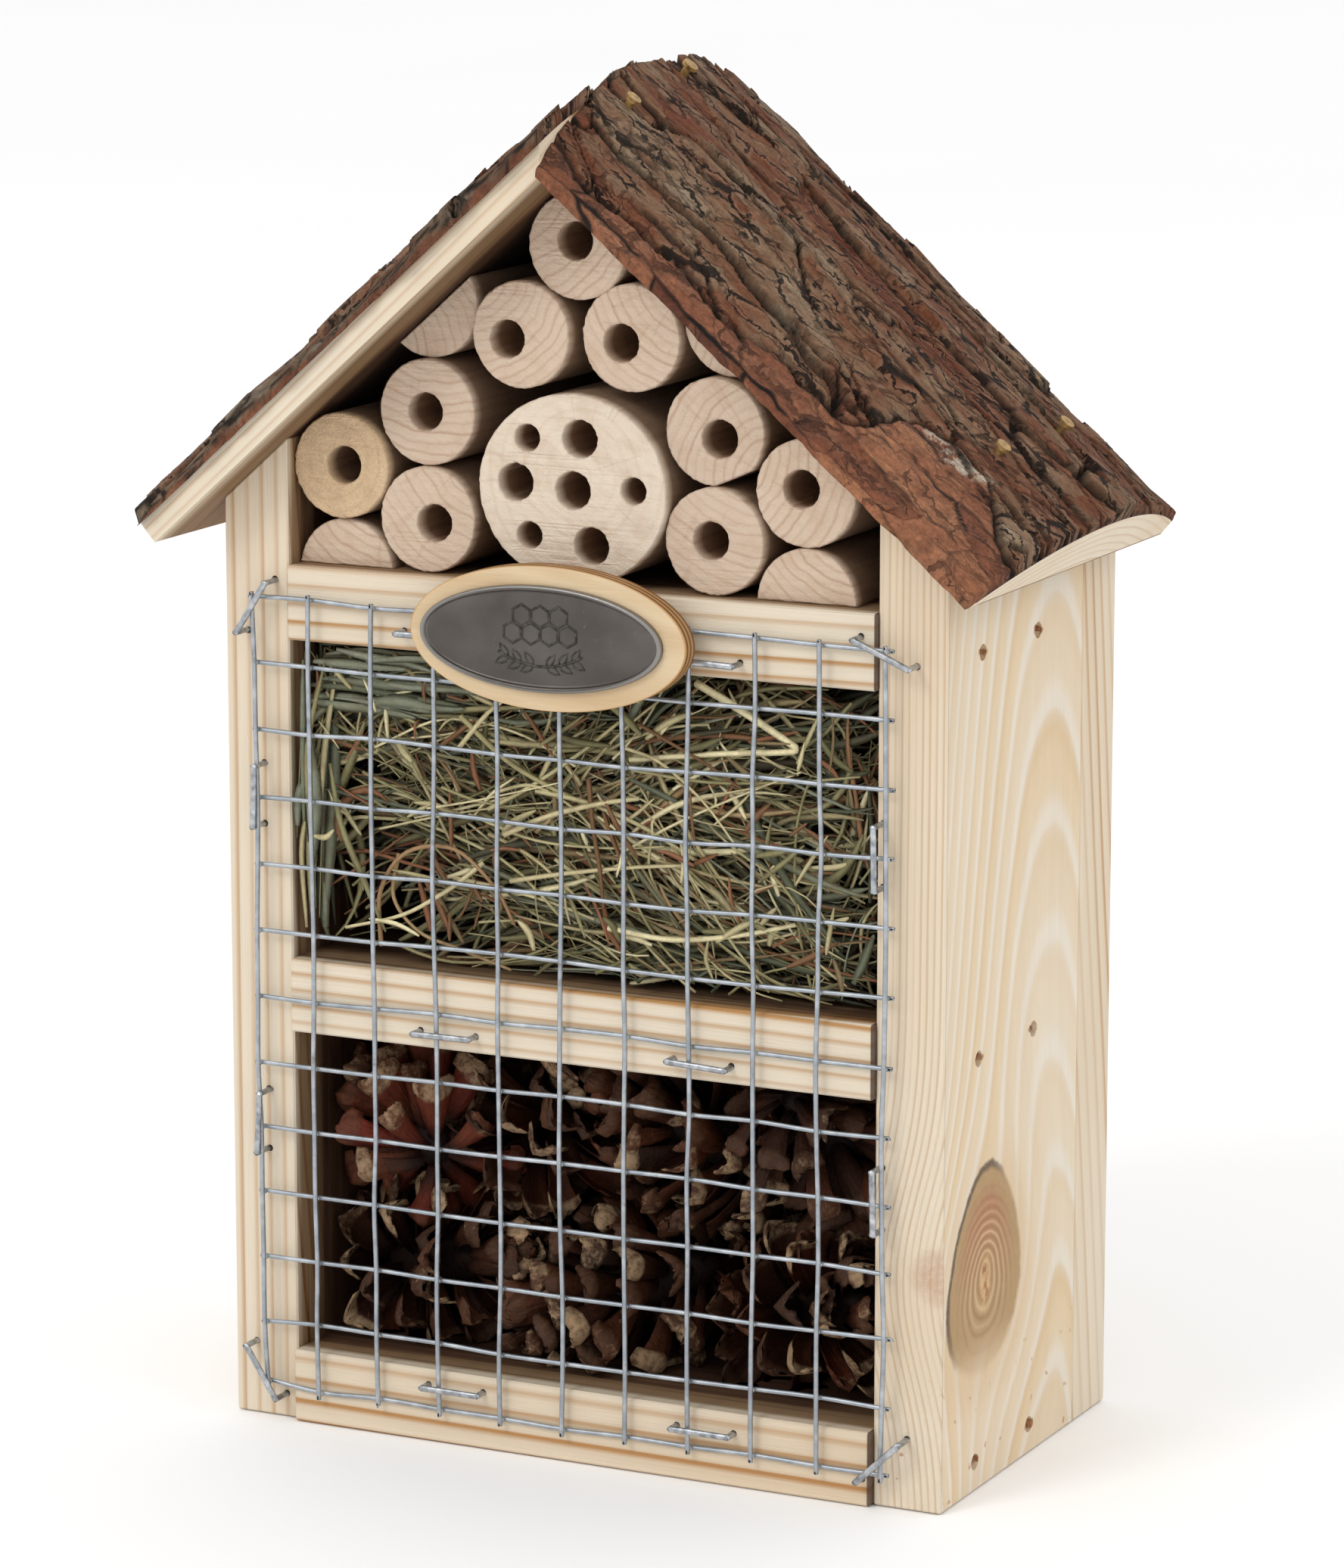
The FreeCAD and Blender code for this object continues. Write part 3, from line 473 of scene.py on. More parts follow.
def bark_sheet(side, seed):
    """The bark on one slab: a rough skin above, the wood's curve below, and torn edges round it."""
    down, out, length = slope(side)
    radius, crown, rise = LOG_RADIUS[side], LOG_CROWN[side], SLAB_RISE[side]
    pitch = math.atan2(-down.z, abs(down.x))
    front, back_edge = ROOF_FRONT - 1.3 * MM, ROOF_BACK + 0.25 * MM
    rows = int(length / BARK_GRID) + 40
    columns = int((back_edge - front) / BARK_GRID)
    across = np.concatenate([front + np.arange(0, EDGE_ZONE, EDGE_GRID),
                             np.linspace(front + EDGE_ZONE, back_edge, columns)])[None, :]
    columns = across.shape[1]
    run = np.linspace(-12 * MM, length, rows)[:, None]
    run_mm, across_mm = (run + 0 * across) / MM, (across + 0 * run) / MM
    height, crack, layer, edge = bark_relief(run_mm, across_mm, seed)
    from_lip = across_mm - front / MM
    band = WORN_BAND[side] * (1 + 0.4 * waves(run_mm / 18, from_lip * 0, seed + 50, 3))
    if side == "right":                # the skin is bared further back near the eave
        band = band * (1 + 2.2 * ease(run_mm, 66, 82) * (1 - 0.4 * ease(run_mm, 94, 106)))
        band = band + 1.2 * waves(run_mm / 4, from_lip / 3, seed + 53, 3)
    worn = 1 - ease(from_lip, band - 0.8, band + 0.4)
    bent_run = run_mm + 5 * waves(run_mm / 14, across_mm / 5, seed + 56, 3)
    bent_across = across_mm + 1.3 * waves(run_mm / 9, across_mm / 4, seed + 57, 3)
    worn_layer, worn_gap, worn_tilt = plates(bent_run, bent_across, 24, 5.5, seed + 55)
    worn_height = (0.7 * worn_layer + 0.6 * worn_tilt
                   + 0.3 * waves(run_mm / 4, across_mm / 2, seed + 51, 3) - 0.3)
    height = height * (1 - worn) + worn_height * worn
    groove = (np.exp(-((from_lip - band) / 0.55) ** 2)
              * ease(waves(run_mm / 22, from_lip * 0, seed + 52), -0.7, 0.2))
    height -= 1.8 * groove * (side == "right")
    worn_crack = (1 - ease(worn_gap, 0.05, 0.5)) * ease(waves(run_mm / 9, from_lip / 4, seed + 58), -0.1, 0.5)
    crack = np.clip(crack * (1 - worn) + worn_crack * worn + groove * (side == "right"), 0, 1)
    edge = edge * (1 - worn) + (1 - ease(worn_gap, 0.0, 0.45)) * worn
    layer = layer * (1 - worn) + worn_layer * worn
    calm = 0.45 + 0.55 * ease(run_mm, -3, 9)       # less relief where the ridge joint was rubbed down
    thick = 2.2 * MM + height * MM * BARK_DEPTH[side] * calm
    thick = np.clip(thick, 0.5 * MM, 5.2 * MM)
    for nail_run, nail_back in NAIL_SPOTS:
        near = np.exp(-((run_mm - nail_run) ** 2 + (across_mm - nail_back) ** 2) / 7)
        thick += (np.minimum(thick, 3.7 * MM) - thick) * near
    wood = rise - radius + np.sqrt(np.maximum(radius ** 2 - (across - crown) ** 2, 0)) + 0 * run
    wood = np.maximum(wood, 0.15 * MM)
    lip = BARK_LIP[side]
    from_front = across - front + 0 * run
    rounding = np.sqrt(np.clip(1 - (1 - np.clip(from_front / lip, 0, 1)) ** 2, 0, 1))
    if side == "left":                  # its torn edge shows the layers, dark above the red inner bark
        strata = (rounding * 2.6 + 0.9 * waves(run_mm / 11, rounding * 2, seed + 63, 3)) % 1
        torn_edge = 1 - ease(from_front, lip * 0.8, lip * 1.5)
        shade = ease(rounding + 0.25 * waves(run_mm / 5, rounding, seed + 64, 2), 0.25, 0.6)
        split = 1 - ease(np.abs(strata - 0.5), 0.05, 0.3)
        crack = np.maximum(crack, torn_edge * shade * (0.25 + 0.75 * split))
        layer = layer * (1 - torn_edge) + torn_edge * (0.35 + 0.6 * shade)
        worn = np.maximum(worn * (1 - torn_edge), torn_edge * (1 - shade))
    low = np.where(wood > 1.0 * MM, wood, 0.1 * MM)         # the bark takes over where the wood runs out
    top = np.maximum(wood + thick, low + 0.35 * MM)
    top = low + (top - low) * (0.12 + 0.88 * rounding)
    rear = ease((back_edge - across) / MM + 0.8 * waves(run_mm / 4, across_mm * 0, seed + 60), 0, 1.6)
    top = low + (top - low) * (0.55 + 0.45 * rear)
    ragged = 0.8 * MM * waves(run_mm / 5, across_mm * 0, seed + 61, 3)
    skin, under = [], []
    for level, store in ((top, skin), (low + 0.03 * MM, under)):
        mitre = -level * math.tan(pitch) + 0.1 * MM
        share = np.linspace(0, 1, rows)[:, None]
        torn = 1.2 * MM * (0.7 + waves(across_mm / 4, across_mm * 0, seed + 62, 3))
        end = length - np.maximum(torn, 0) * (level > low + 0.3 * MM)
        place = mitre + (end - mitre) * share
        shift = ragged * (1 - ease(from_front, 0, 2 * MM))
        store.append(np.stack([RIDGE.x + down.x * place + out.x * level, across + shift + 0 * run,
                               RIDGE.z + down.z * place + out.z * level], axis=-1).reshape(-1, 3))
    points = np.concatenate([skin[0], under[0]])
    count = rows * columns
    flip = side == "left"
    faces = [grid_faces(rows, columns, 0, flip), grid_faces(rows, columns, count, not flip)]
    index = np.arange(count).reshape(rows, columns)
    rim = np.concatenate([index[0, :], index[1:, -1], index[-1, -2::-1], index[-2:0:-1, 0]])
    after = np.roll(rim, -1)
    walls = np.stack([rim, after, after + count, rim + count], axis=-1)
    faces.append(walls[:, ::-1] if flip else walls)
    tones = {"crack": crack, "layer": layer, "flake_edge": edge, "worn": worn, "run": run_mm,
             "back": across_mm}
    return points, np.concatenate(faces), {name: np.tile(values.ravel(), 2) for name, values in tones.items()}


def bark_paint(place):
    crack, layer, flake_edge, worn, run, back = map(
        place.tone, ("crack", "layer", "flake_edge", "worn", "run", "back"))
    grit = place.cloud(1300.0, 5.0, 0.75)
    wander = place.cloud(110.0, 4.0, 0.6)
    ragged = place.cloud(420.0, 4.0, 0.7)
    threads = place.joined(run * 0.3, back * 1.0, 2.0).cloud(1.0, 5.0, 0.65, 0.8)
    patch = place.joined(run * 0.045, back * 0.1, 3.0).cloud(1.0, 4.0, 0.6, 0.5)
    wide_patch = place.cloud(24.0, 3.0)
    hairs, edge_highlight = 0.0, 0.0             # hair cracks round the flakes, and a painted highlight beside them
    for long, wide, width, share, seed in ((15.0, 4.0, 0.06, 1.0, 1.0), (7.0, 2.1, 0.055, 0.45, 5.0)):
        flake_place = place.joined(run / long + wander * 1.2, back / wide + wander * 2.4 + ragged * 0.7, seed)
        flake = place.node("ShaderNodeTexVoronoi", {"feature": "F1"}, {"Vector": flake_place, "Scale": 1.0},
                           "Color").along((1, 0, 0))
        flake_gap = place.node("ShaderNodeTexVoronoi", {"feature": "DISTANCE_TO_EDGE"},
                               {"Vector": flake_place, "Scale": 1.0}, "Distance")
        broken = place.joined(run * 0.06, back * 0.2, seed + 9.0).cloud(1.0, 3.0).step(0.44, 0.54)
        hairs = hairs + flake_gap.step(width, width * 0.45) * broken * share
        beside = flake_gap.step(width, width * 1.3) * flake_gap.step(width * 3.2, width * 1.6)
        edge_highlight = edge_highlight + beside * broken * share
    hairs = place.maths("MINIMUM", hairs, 1.0)
    mixed = layer * 0.6 + patch * 0.8 + flake * 0.18 - 0.3
    bark = mixed.ramp((0.0, colour("482012")), (1.0, colour("AB9C89")), (0.2, colour("643520")),
                      (0.38, colour("72452E")), (0.55, colour("7A5B44")), (0.76, colour("8C765F")))
    bark = (wide_patch.step(0.46, 0.66) * 0.45).blend(bark, bark.tinted(colour("E0A484")))
    bared = (patch * 0.5 + layer * 0.45 + flake * 0.15 + run.step(50.0, 80.0) * 0.16 - 0.07)
    skin = bared.ramp((0.0, colour("46241A")), (1.0, colour("B37A50")), (0.35, colour("6C3F2B")),
                      (0.6, colour("855036")), (0.8, colour("966042")))
    skin = skin.shaded(ragged * 1.5 + 0.2)
    bark = (worn * 0.92).blend(bark, skin)
    streak = ((run - 87.0) / 10.0) ** 2.0 + ((back - 10.0 - (run - 87.0) * 0.15) / 3.2) ** 2.0
    lichen = streak.step(1.2, 0.3) * ragged.step(0.45, 0.55)
    bark = (lichen * 0.75).blend(bark, colour("C9C0AE"))
    bark = bark.shaded((threads * 1.5 + 0.28) * (grit * 1.5 + 0.3))
    # Painted highlight: a paler band beside the hair cracks, weaker on the worn skin.
    bark = (place.maths("MINIMUM", edge_highlight, 1.0) * (1 - worn * 0.5) * 0.25).blend(bark, colour("AC8B70"))
    # Painted shadow under the flake edges.
    bark = (flake_edge ** 1.2 * 0.7).blend(bark, colour("1E0F09"))
    # The fissures and hair cracks are painted near black: darker bark in them, and painted shade inside them.
    dark = place.maths("MAXIMUM", crack ** 0.55, hairs * (0.97 - worn * 0.45))
    bark = (dark * 0.96).blend(bark, colour("0E0805"))
    height = grit * 0.0007 + threads * 0.0008 + flake * 0.0006 - hairs * 0.0014
    return {"Base Color": bark, "Roughness": 0.85 - worn * 0.2, "Specular IOR Level": 0.25,
            "Normal": place.relief(height, 0.9)}


pine_bark = finish("pine_bark", bark_paint)
for side, seed in (("left", 140), ("right", 63)):
    points, faces, tones = bark_sheet(side, seed)
    make_piece(f"bark_{side}", points, faces, pine_bark, "pine_bark", [f"{side}_roof_bark"], tones=tones)


# ======================================================================== Dowels and drilled log
# Lengths of hardwood dowel and one peeled log end, crosscut with a coarse saw and drilled as nests.
# They are stacked in the gable and wedged by four split dowels laid on the shelf and the roof.
CHAMFER = 0.3 * MM


def ring(centre, radius_x, radius_z, count, start=0.0, turn=2 * math.pi, wobble=0.0, rng=None):
    """Points round an oval, or part of one, in the front plane."""
    whole = turn >= 2 * math.pi - 1e-6
    angles = start + turn * np.arange(count) / (count if whole else count - 1)
    reach = 1 + (rng.normal(0, wobble, count) if wobble else 0)
    return np.stack([centre[0] + radius_x * reach * np.cos(angles),
                     centre[1] + radius_z * reach * np.sin(angles)], 1)


def shrunk(loop, by):
    """A loop moved inwards (or outwards, if by is negative) by a small distance."""
    ahead, behind = np.roll(loop, -1, 0), np.roll(loop, 1, 0)
    run = ahead - behind
    square = np.stack([-run[:, 1], run[:, 0]], 1) / np.linalg.norm(run, axis=1)[:, None]
    return loop + square * by


def sawn_stick(outline, holes, front, back, hole_depth, rng):
    """A stick along the depth with a rough-sawn front end and blind holes drilled into it."""
    points, faces = [], []

    def add_loop(loop, depth):
        start = len(points)
        depths = depth if np.ndim(depth) else np.full(len(loop), depth)
        points.extend((across, deep, up) for (across, up), deep in zip(loop, depths))
        return np.arange(start, start + len(loop))

    def bridge(first, second):
        faces.extend(zip(second, np.roll(second, -1), np.roll(first, -1), first))

    def rough(count, size):
        return front + rng.normal(0, size, count)

    loops = []
    edge_in = add_loop(shrunk(outline, CHAMFER), rough(len(outline), 0.04 * MM))
    loops.append(edge_in)
    edge_out = add_loop(outline, front + CHAMFER + rng.normal(0, 0.1 * MM, len(outline)))
    bridge(edge_in, edge_out)
    levels = np.linspace(front + 3 * MM, back, 6)
    last = edge_out
    for depth in levels:
        level = add_loop(outline, depth)
        bridge(last, level)
        last = level
    faces.append(tuple(last[::-1]))
    for hole in holes:
        mouth = add_loop(shrunk(hole, -0.25 * MM)[::-1], rough(len(hole), 0.05 * MM))
        loops.append(mouth)
        last = mouth
        for depth in (front + 0.35 * MM, front + 4 * MM, front + hole_depth):
            wall = add_loop(hole[::-1], depth)
            bridge(last, wall)
            last = wall
        faces.append(tuple(last[::-1]))
    flat = [[Vector((*[points[number][0], points[number][2]], 0)) for number in loop] for loop in loops]
    numbers = np.concatenate(loops)
    for triangle in tessellate_polygon(flat):
        a, b, c = (numbers[corner] for corner in triangle)
        first, second, third = (np.array(points[number])[[0, 2]] for number in (a, b, c))
        turn = np.cross(second - first, third - first)
        faces.append((a, b, c) if turn > 0 else (c, b, a))
    return np.array(points), faces


def end_grain(pale, dark, ring_width, contrast, coarse=0.0):
    """Crosscut hardwood: rings round each stick's own pith, rays, pores and saw fuzz."""
    def paint(place):
        across, up, own, deep = map(place.tone, ("from_pith_x", "from_pith_z", "own", "deep"))
        flat = place.joined(across, up, own * 0.31)
        drift = flat.cloud(160.0, 2.0) - 0.5
        far = (across * across + up * up) ** 0.5 + drift * 0.0022
        year = far / ring_width
        part = year.maths("FRACT", year)
        late = part.ramp((0.0, (0.2, 0.2, 0.2, 1)), (1.0, (0.15, 0.15, 0.15, 1)), (0.55, (0, 0, 0, 1)),
                         (0.88, (1, 1, 1, 1)))
        whole = year.maths("FLOOR", year)
        strength = whole.node("ShaderNodeTexWhiteNoise", {"noise_dimensions": "1D"}, {"W": whole + own * 9.0})
        turn = across.maths("ARCTAN2", up, across)
        ray_place = place.joined(turn * 14.0, far * 90.0, own * 7.0)
        rays = ray_place.cloud(1.0, 1.0).step(0.62, 0.74)
        saw = place.joined(across * 500.0 + up * 900.0, up * 60.0, own * 3.0).cloud(1.0, 3.0)
        pores = place.cloud(2600.0, 2.0, 0.7)
        mottled = flat.cloud(220.0, 3.0)
        wood = (late * (strength * 0.7 + 0.3) * contrast).blend(pale, dark)
        wood = (rays * 0.16).blend(wood, colour("9A6F4E"))
        wood = (mottled.step(0.4, 0.75) * 0.3).blend(wood, colour("B8957A"))
        wood = wood.shaded(pores * (0.16 + coarse) + saw * 0.14 + 0.86 - coarse * 0.5 + (own - 0.5) * 0.07)
        lengthways = place.joined(across * 900.0, up * 900.0, deep * 30.0).cloud(1.0, 2.0)
        side = place.tone("side")
        # The long-grain sides are painted darker brown: their own streaked colour, and painted shade.
        wood = (side * 0.9).blend(wood, lengthways.blend(colour("94765B"), colour("6A4F3A")))
        wood = place.tone("bored").blend(wood, lengthways.blend(colour("64432F"), colour("A07E60")))
        height = pores * (0.0002 + coarse * 0.0012) + saw * 0.00022 + lengthways * side * 0.0002
        return {"Base Color": wood, "Roughness": 0.78, "Normal": place.relief(height)}
    return paint


dowel_wood = finish("dowel_wood", end_grain(colour("CFBAA5"), colour("AA8970"), 1.9 * MM, 0.75))
coarse_wood = finish("dowel_coarse", end_grain(colour("E2C49E"), colour("C7A47C"), 2.6 * MM, 0.4, 0.35))
log_wood = finish("log_wood", end_grain(colour("DCCDBA"), colour("CDB79C"), 2.4 * MM, 0.5))

NEST = 7 * MM
SMALL_NEST = 5 * MM
NEST_DEPTH = 40 * MM
# Each drilled dowel's hole from its own middle, across and up in mm, and its pith from there.
DRILLED = {
    "ridge_dowel": ((-0.5, 0.9), (-16, 14)), "upper_left_dowel": ((-2.8, -0.9), (-11, 13)),
    "upper_right_dowel": ((-2.0, -1.0), (12, 12)), "left_dowel": ((-0.4, 0.1), (3, 30)),
    "outer_left_dowel": ((0.6, 0.2), (-2, 1)), "lower_left_dowel": ((1.4, -0.6), (14, 17)),
    "right_dowel": ((1.0, -1.2), (13, -9)), "lower_right_dowel": ((-0.7, 0.1), (10, 24)),
    "outer_right_dowel": ((-0.9, 0.7), (-20, 8)),
}
SPLIT = {
    "left_roof_half_dowel": (-15, -6), "right_roof_half_dowel": (14, -10),
    "left_shelf_half_dowel": (9, 14), "right_shelf_half_dowel": (11, 16),
}
LOG_NESTS = (
    (NEST, 1.6, 9.4), (NEST, -11.5, 0.7), (NEST, 0.2, -0.1), (NEST, 3.9, -10.1),
    (SMALL_NEST, -9.1, 9.0), (SMALL_NEST, 12.4, 0.6), (SMALL_NEST, -8.7, -8.9),
)
DOWEL_RADIUS = 9.8 * MM


def stick_tones(points, front, holes, middle, pith, own):
    """Tones that say where the pith is, which stick it is, and which points are side or bored."""
    across, deep, up = points.T
    bored = np.zeros(len(points))
    for hole in holes:
        centre, radius = hole.mean(0), np.ptp(hole[:, 0]) / 2
        near = np.hypot(across - centre[0], up - centre[1]) < radius * 1.03
        bored = np.maximum(bored, near * ease((deep - front) / MM, 0.3, 0.6))
    side = ease((deep - front) / MM, 0.25, 0.9) * (1 - bored)
    return {"from_pith_x": across - middle[0] - pith[0] * MM, "from_pith_z": up - middle[1] - pith[1] * MM,
            "own": np.full(len(points), own), "deep": deep, "side": side, "bored": bored}


def stand_stick(name, outline, holes, pith, wood, slot, seed):
    low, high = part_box(name)
    rng = np.random.default_rng(seed)
    points, faces = sawn_stick(outline, holes, low[1], high[1], NEST_DEPTH, rng)
    middle = outline.mean(0)
    tones = stick_tones(points, low[1], holes, middle, pith, rng.uniform())
    piece = make_piece(f"{name}_wood", points, faces, wood, slot, [name], smooth=False, tones=tones)
    piece.data.polygons.foreach_set("use_smooth", [len(face.vertices) == 4 for face in piece.data.polygons])


for number, (name, (hole_place, pith)) in enumerate(DRILLED.items()):
    low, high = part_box(name)
    middle = np.array([(low[0] + high[0]) / 2, (low[2] + high[2]) / 2])
    rng = np.random.default_rng(100 + number)
    outline = ring(middle, DOWEL_RADIUS, DOWEL_RADIUS, 96, wobble=0.003, rng=rng)
    if name == "right_dowel":          # a small flat was sawn off this one
        cut_line = -0.45 * outline[:, 0] + outline[:, 1]
        lowest = np.sort(cut_line)[12]
        outline[:, 1] += np.maximum(lowest - cut_line, 0)
    hole = ring(middle + np.array(hole_place) * MM, NEST / 2, NEST / 2, 48, wobble=0.012, rng=rng)
    wood = coarse_wood if name == "outer_left_dowel" else dowel_wood
    stand_stick(name, outline, [hole], pith, wood, "dowel_beech", 200 + number)

for number, (name, pith) in enumerate(SPLIT.items()):
    low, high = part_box(name)
    roof_side = name.split("_")[0] if "roof" in name else None
    if roof_side:                      # flat side against the roof's underside
        _, out, _ = slope(roof_side)
        sagitta = {"left": 8.55, "right": 10.05}[roof_side] * MM
        centre = np.array({"left": (-32.4, 214.5), "right": (28.6, 214.3)}[roof_side]) * MM
        facing = math.atan2(-out.z, -out.x)
    else:
        sagitta = high[2] - low[2]
        centre = np.array([(low[0] + high[0]) / 2, high[2] - DOWEL_RADIUS])
        facing = math.pi / 2
    open_angle = math.acos(max(-1, min(1, (DOWEL_RADIUS - sagitta) / DOWEL_RADIUS)))
    arc = ring(centre, DOWEL_RADIUS, DOWEL_RADIUS, 44, facing - open_angle, 2 * open_angle)
    chord = arc[-1] + (arc[0] - arc[-1]) * np.linspace(0, 1, 16)[1:-1, None]
    stand_stick(name, np.concatenate([arc, chord]), [], pith, dowel_wood, "dowel_beech", 300 + number)

low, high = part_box("drilled_log")
middle = np.array([(low[0] + high[0]) / 2, (low[2] + high[2]) / 2])
rng = np.random.default_rng(41)
outline = ring(middle, (high[0] - low[0]) / 2, (high[2] - low[2]) / 2, 140, wobble=0.002, rng=rng)
nests = [ring(middle + np.array([across, up]) * MM, bore / 2, bore / 2, 44, wobble=0.015, rng=rng)
         for bore, across, up in LOG_NESTS]
stand_stick("drilled_log", outline, nests, (2, 3), log_wood, "log_birch", 77)


# ======================================================================== Wire mesh
# Galvanised steel wires, crossed and spot welded, the upright ones in front. The sheet was cut
# with side cutters and pulled a little out of square when it was stapled on.
WIRE_RADIUS = 0.47 * MM
WIRES_ACROSS, WIRES_UP = 11, 13
WIRE_SIDES = 10


def smooth_path(corners, per_span):
    """A smooth curve through the corners, with this many points for each span."""
    corners = np.asarray(corners, float)
    padded = np.concatenate([[2 * corners[0] - corners[1]], corners, [2 * corners[-1] - corners[-2]]])
    share = np.linspace(0, 1, per_span, endpoint=False)[:, None]
    spans = []
    for before, start, end, after in zip(padded, padded[1:], padded[2:], padded[3:]):
        spans.append(0.5 * (2 * start + (end - before) * share
                            + (2 * before - 5 * start + 4 * end - after) * share ** 2
                            + (3 * start - before - 3 * end + after) * share ** 3))
    return np.concatenate([*spans, corners[-1:]])


def tube(path, radius, sides, flat=1.0, facing=(0, -1, 0)):
    """A closed round or flattened bar along a path; flat is its thickness over its width."""
    path = np.asarray(path, float)
    ahead = np.gradient(path, axis=0)
    ahead /= np.linalg.norm(ahead, axis=1)[:, None]
    wide = np.cross(ahead, np.asarray(facing, float))
    weak = np.linalg.norm(wide, axis=1) < 0.1
    wide[weak] = np.cross(ahead[weak], (0.3, 0.1, 1.0))
    wide /= np.linalg.norm(wide, axis=1)[:, None]
    thick = np.cross(wide, ahead)
    angles = 2 * math.pi * np.arange(sides) / sides
    radius = np.broadcast_to(np.asarray(radius, float), (len(path),))
    points = path[:, None, :] + radius[:, None, None] * (
        np.cos(angles)[None, :, None] * wide[:, None, :]
        + flat * np.sin(angles)[None, :, None] * thick[:, None, :])
    count = len(path)
    index = np.arange(count * sides).reshape(count, sides)
    index = np.concatenate([index, index[:, :1]], axis=1)
    faces = np.stack([index[:-1, :-1], index[1:, :-1], index[1:, 1:], index[:-1, 1:]], -1).reshape(-1, 4)
    caps = [tuple(index[0, :-1]), tuple(index[-1, :-1][::-1])]
    return points.reshape(-1, 3), [*map(tuple, faces), *caps]


def gather(parts):
    """Joins (points, faces) pairs into one."""
    points, faces, start = [], [], 0
    for some_points, some_faces in parts:
        points.append(some_points)
        faces.extend(tuple(int(number) + start for number in face) for face in some_faces)
        start += len(some_points)
    return np.concatenate(points), faces


def blob(centre, size, rows=5, columns=8):
    """A small rounded lump."""
    lift = np.linspace(-math.pi / 2, math.pi / 2, rows + 2)[1:-1]
    turn = 2 * math.pi * np.arange(columns) / columns
    body = np.stack([np.cos(lift)[:, None] * np.cos(turn), np.sin(lift)[:, None] + 0 * turn,
                     np.cos(lift)[:, None] * np.sin(turn)], -1).reshape(-1, 3)
    points = np.concatenate([body, [(0, -1, 0), (0, 1, 0)]]) * size + centre
    faces = []
    for row in range(rows - 1):
        for column in range(columns):
            after = (column + 1) % columns
            faces.append((row * columns + column, (row + 1) * columns + column,
                          (row + 1) * columns + after, row * columns + after))
    low_pole, high_pole = rows * columns, rows * columns + 1
    for column in range(columns):
        after = (column + 1) % columns
        faces.append((low_pole, column, after))
        faces.append((high_pole, (rows - 1) * columns + after, (rows - 1) * columns + column))
    return points, faces


mesh_low, mesh_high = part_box("wire_mesh")
stub = 1.2 * MM
rng = np.random.default_rng(12)
knots_x = np.linspace(mesh_low[0] + stub, mesh_high[0] - stub, WIRES_ACROSS)
knots_z = np.linspace(mesh_low[2] + stub, mesh_high[2] - stub, WIRES_UP)
pulled_x = rng.normal(0, 0.14 * MM, (WIRES_ACROSS, WIRES_UP)) + 0.18 * MM * np.sin(
    np.arange(WIRES_UP)[None, :] * 0.9 + np.arange(WIRES_ACROSS)[:, None] * 1.3)
pulled_z = rng.normal(0, 0.15 * MM, (WIRES_ACROSS, WIRES_UP)) + 0.2 * MM * np.sin(
    np.arange(WIRES_ACROSS)[:, None] * 0.8 + np.arange(WIRES_UP)[None, :] * 0.7)
pulled_x[0, :] += 1.3 * MM             # the first wire was cut loose and leans inwards
pulled_x[0, 0] += 0.9 * MM              # the lower left corner was pulled in and up
pulled_z[0, 0] += 0.8 * MM
pulled_z[1, 0] -= 0.3 * MM
front_wire = mesh_low[1] + WIRE_RADIUS
rear_wire = mesh_high[1] - WIRE_RADIUS
wire_parts = []
for column in range(WIRES_ACROSS):
    line = [(knots_x[column] + pulled_x[column, row], front_wire, knots_z[row] + pulled_z[column, row])
            for row in range(WIRES_UP)]
    ends = rng.uniform(0.25, 0.7, 2) * MM
    line = [np.array(line[0]) - (0, 0, ends[0]), *line, np.array(line[-1]) + (0, 0, ends[1])]
    wire_parts.append(tube(smooth_path(line, 5), WIRE_RADIUS, WIRE_SIDES))
for row in range(WIRES_UP):
    line = [(knots_x[column] + pulled_x[column, row], rear_wire, knots_z[row] + pulled_z[column, row])
            for column in range(WIRES_ACROSS)]
    ends = rng.uniform(0.3, 0.9, 2) * MM
    line = [np.array(line[0]) - (ends[0], 0, 0), *line, np.array(line[-1]) + (ends[1], 0, 0)]
    wire_parts.append(tube(smooth_path(line, 5), WIRE_RADIUS * 0.97, WIRE_SIDES))
for column in range(WIRES_ACROSS):
    for row in range(WIRES_UP):
        size = np.array([0.62, 0.5, 0.6]) * MM * rng.uniform(0.85, 1.12, 3)
        centre = (knots_x[column] + pulled_x[column, row], (front_wire + rear_wire) / 2,
                  knots_z[row] + pulled_z[column, row])
        wire_parts.append(blob(centre, size))


def zinc_paint(place):
    dull = place.cloud(260.0, 3.0, 0.6)
    specks = place.cloud(420.0, 2.0)
    zinc = dull.ramp((0.2, colour("858C93")), (0.85, colour("CDD2D6")), (0.5, colour("A3A9AF")))
    zinc = (specks.step(0.66, 0.76) * 0.5).blend(zinc, colour("7A746B"))
    return {"Base Color": zinc, "Metallic": 0.8, "Roughness": dull * 0.3 + 0.26,
            "Normal": place.relief(dull * 0.00006)}


zinc = finish("galvanised_wire", zinc_paint)
make_piece("welded_mesh", *gather(wire_parts), zinc, "galvanised_wire", ["wire_mesh"])


# ======================================================================== Staples
# Flattened steel wire staples from a hand tacker, driven over the mesh into the sides and shelves.
# The crowns stand a little proud; the ones at the corners sit askew.
STAPLE_HALF = 5.8 * MM
STAPLE_WIDTH = 0.62 * MM
STAPLE_LEG = 8 * MM
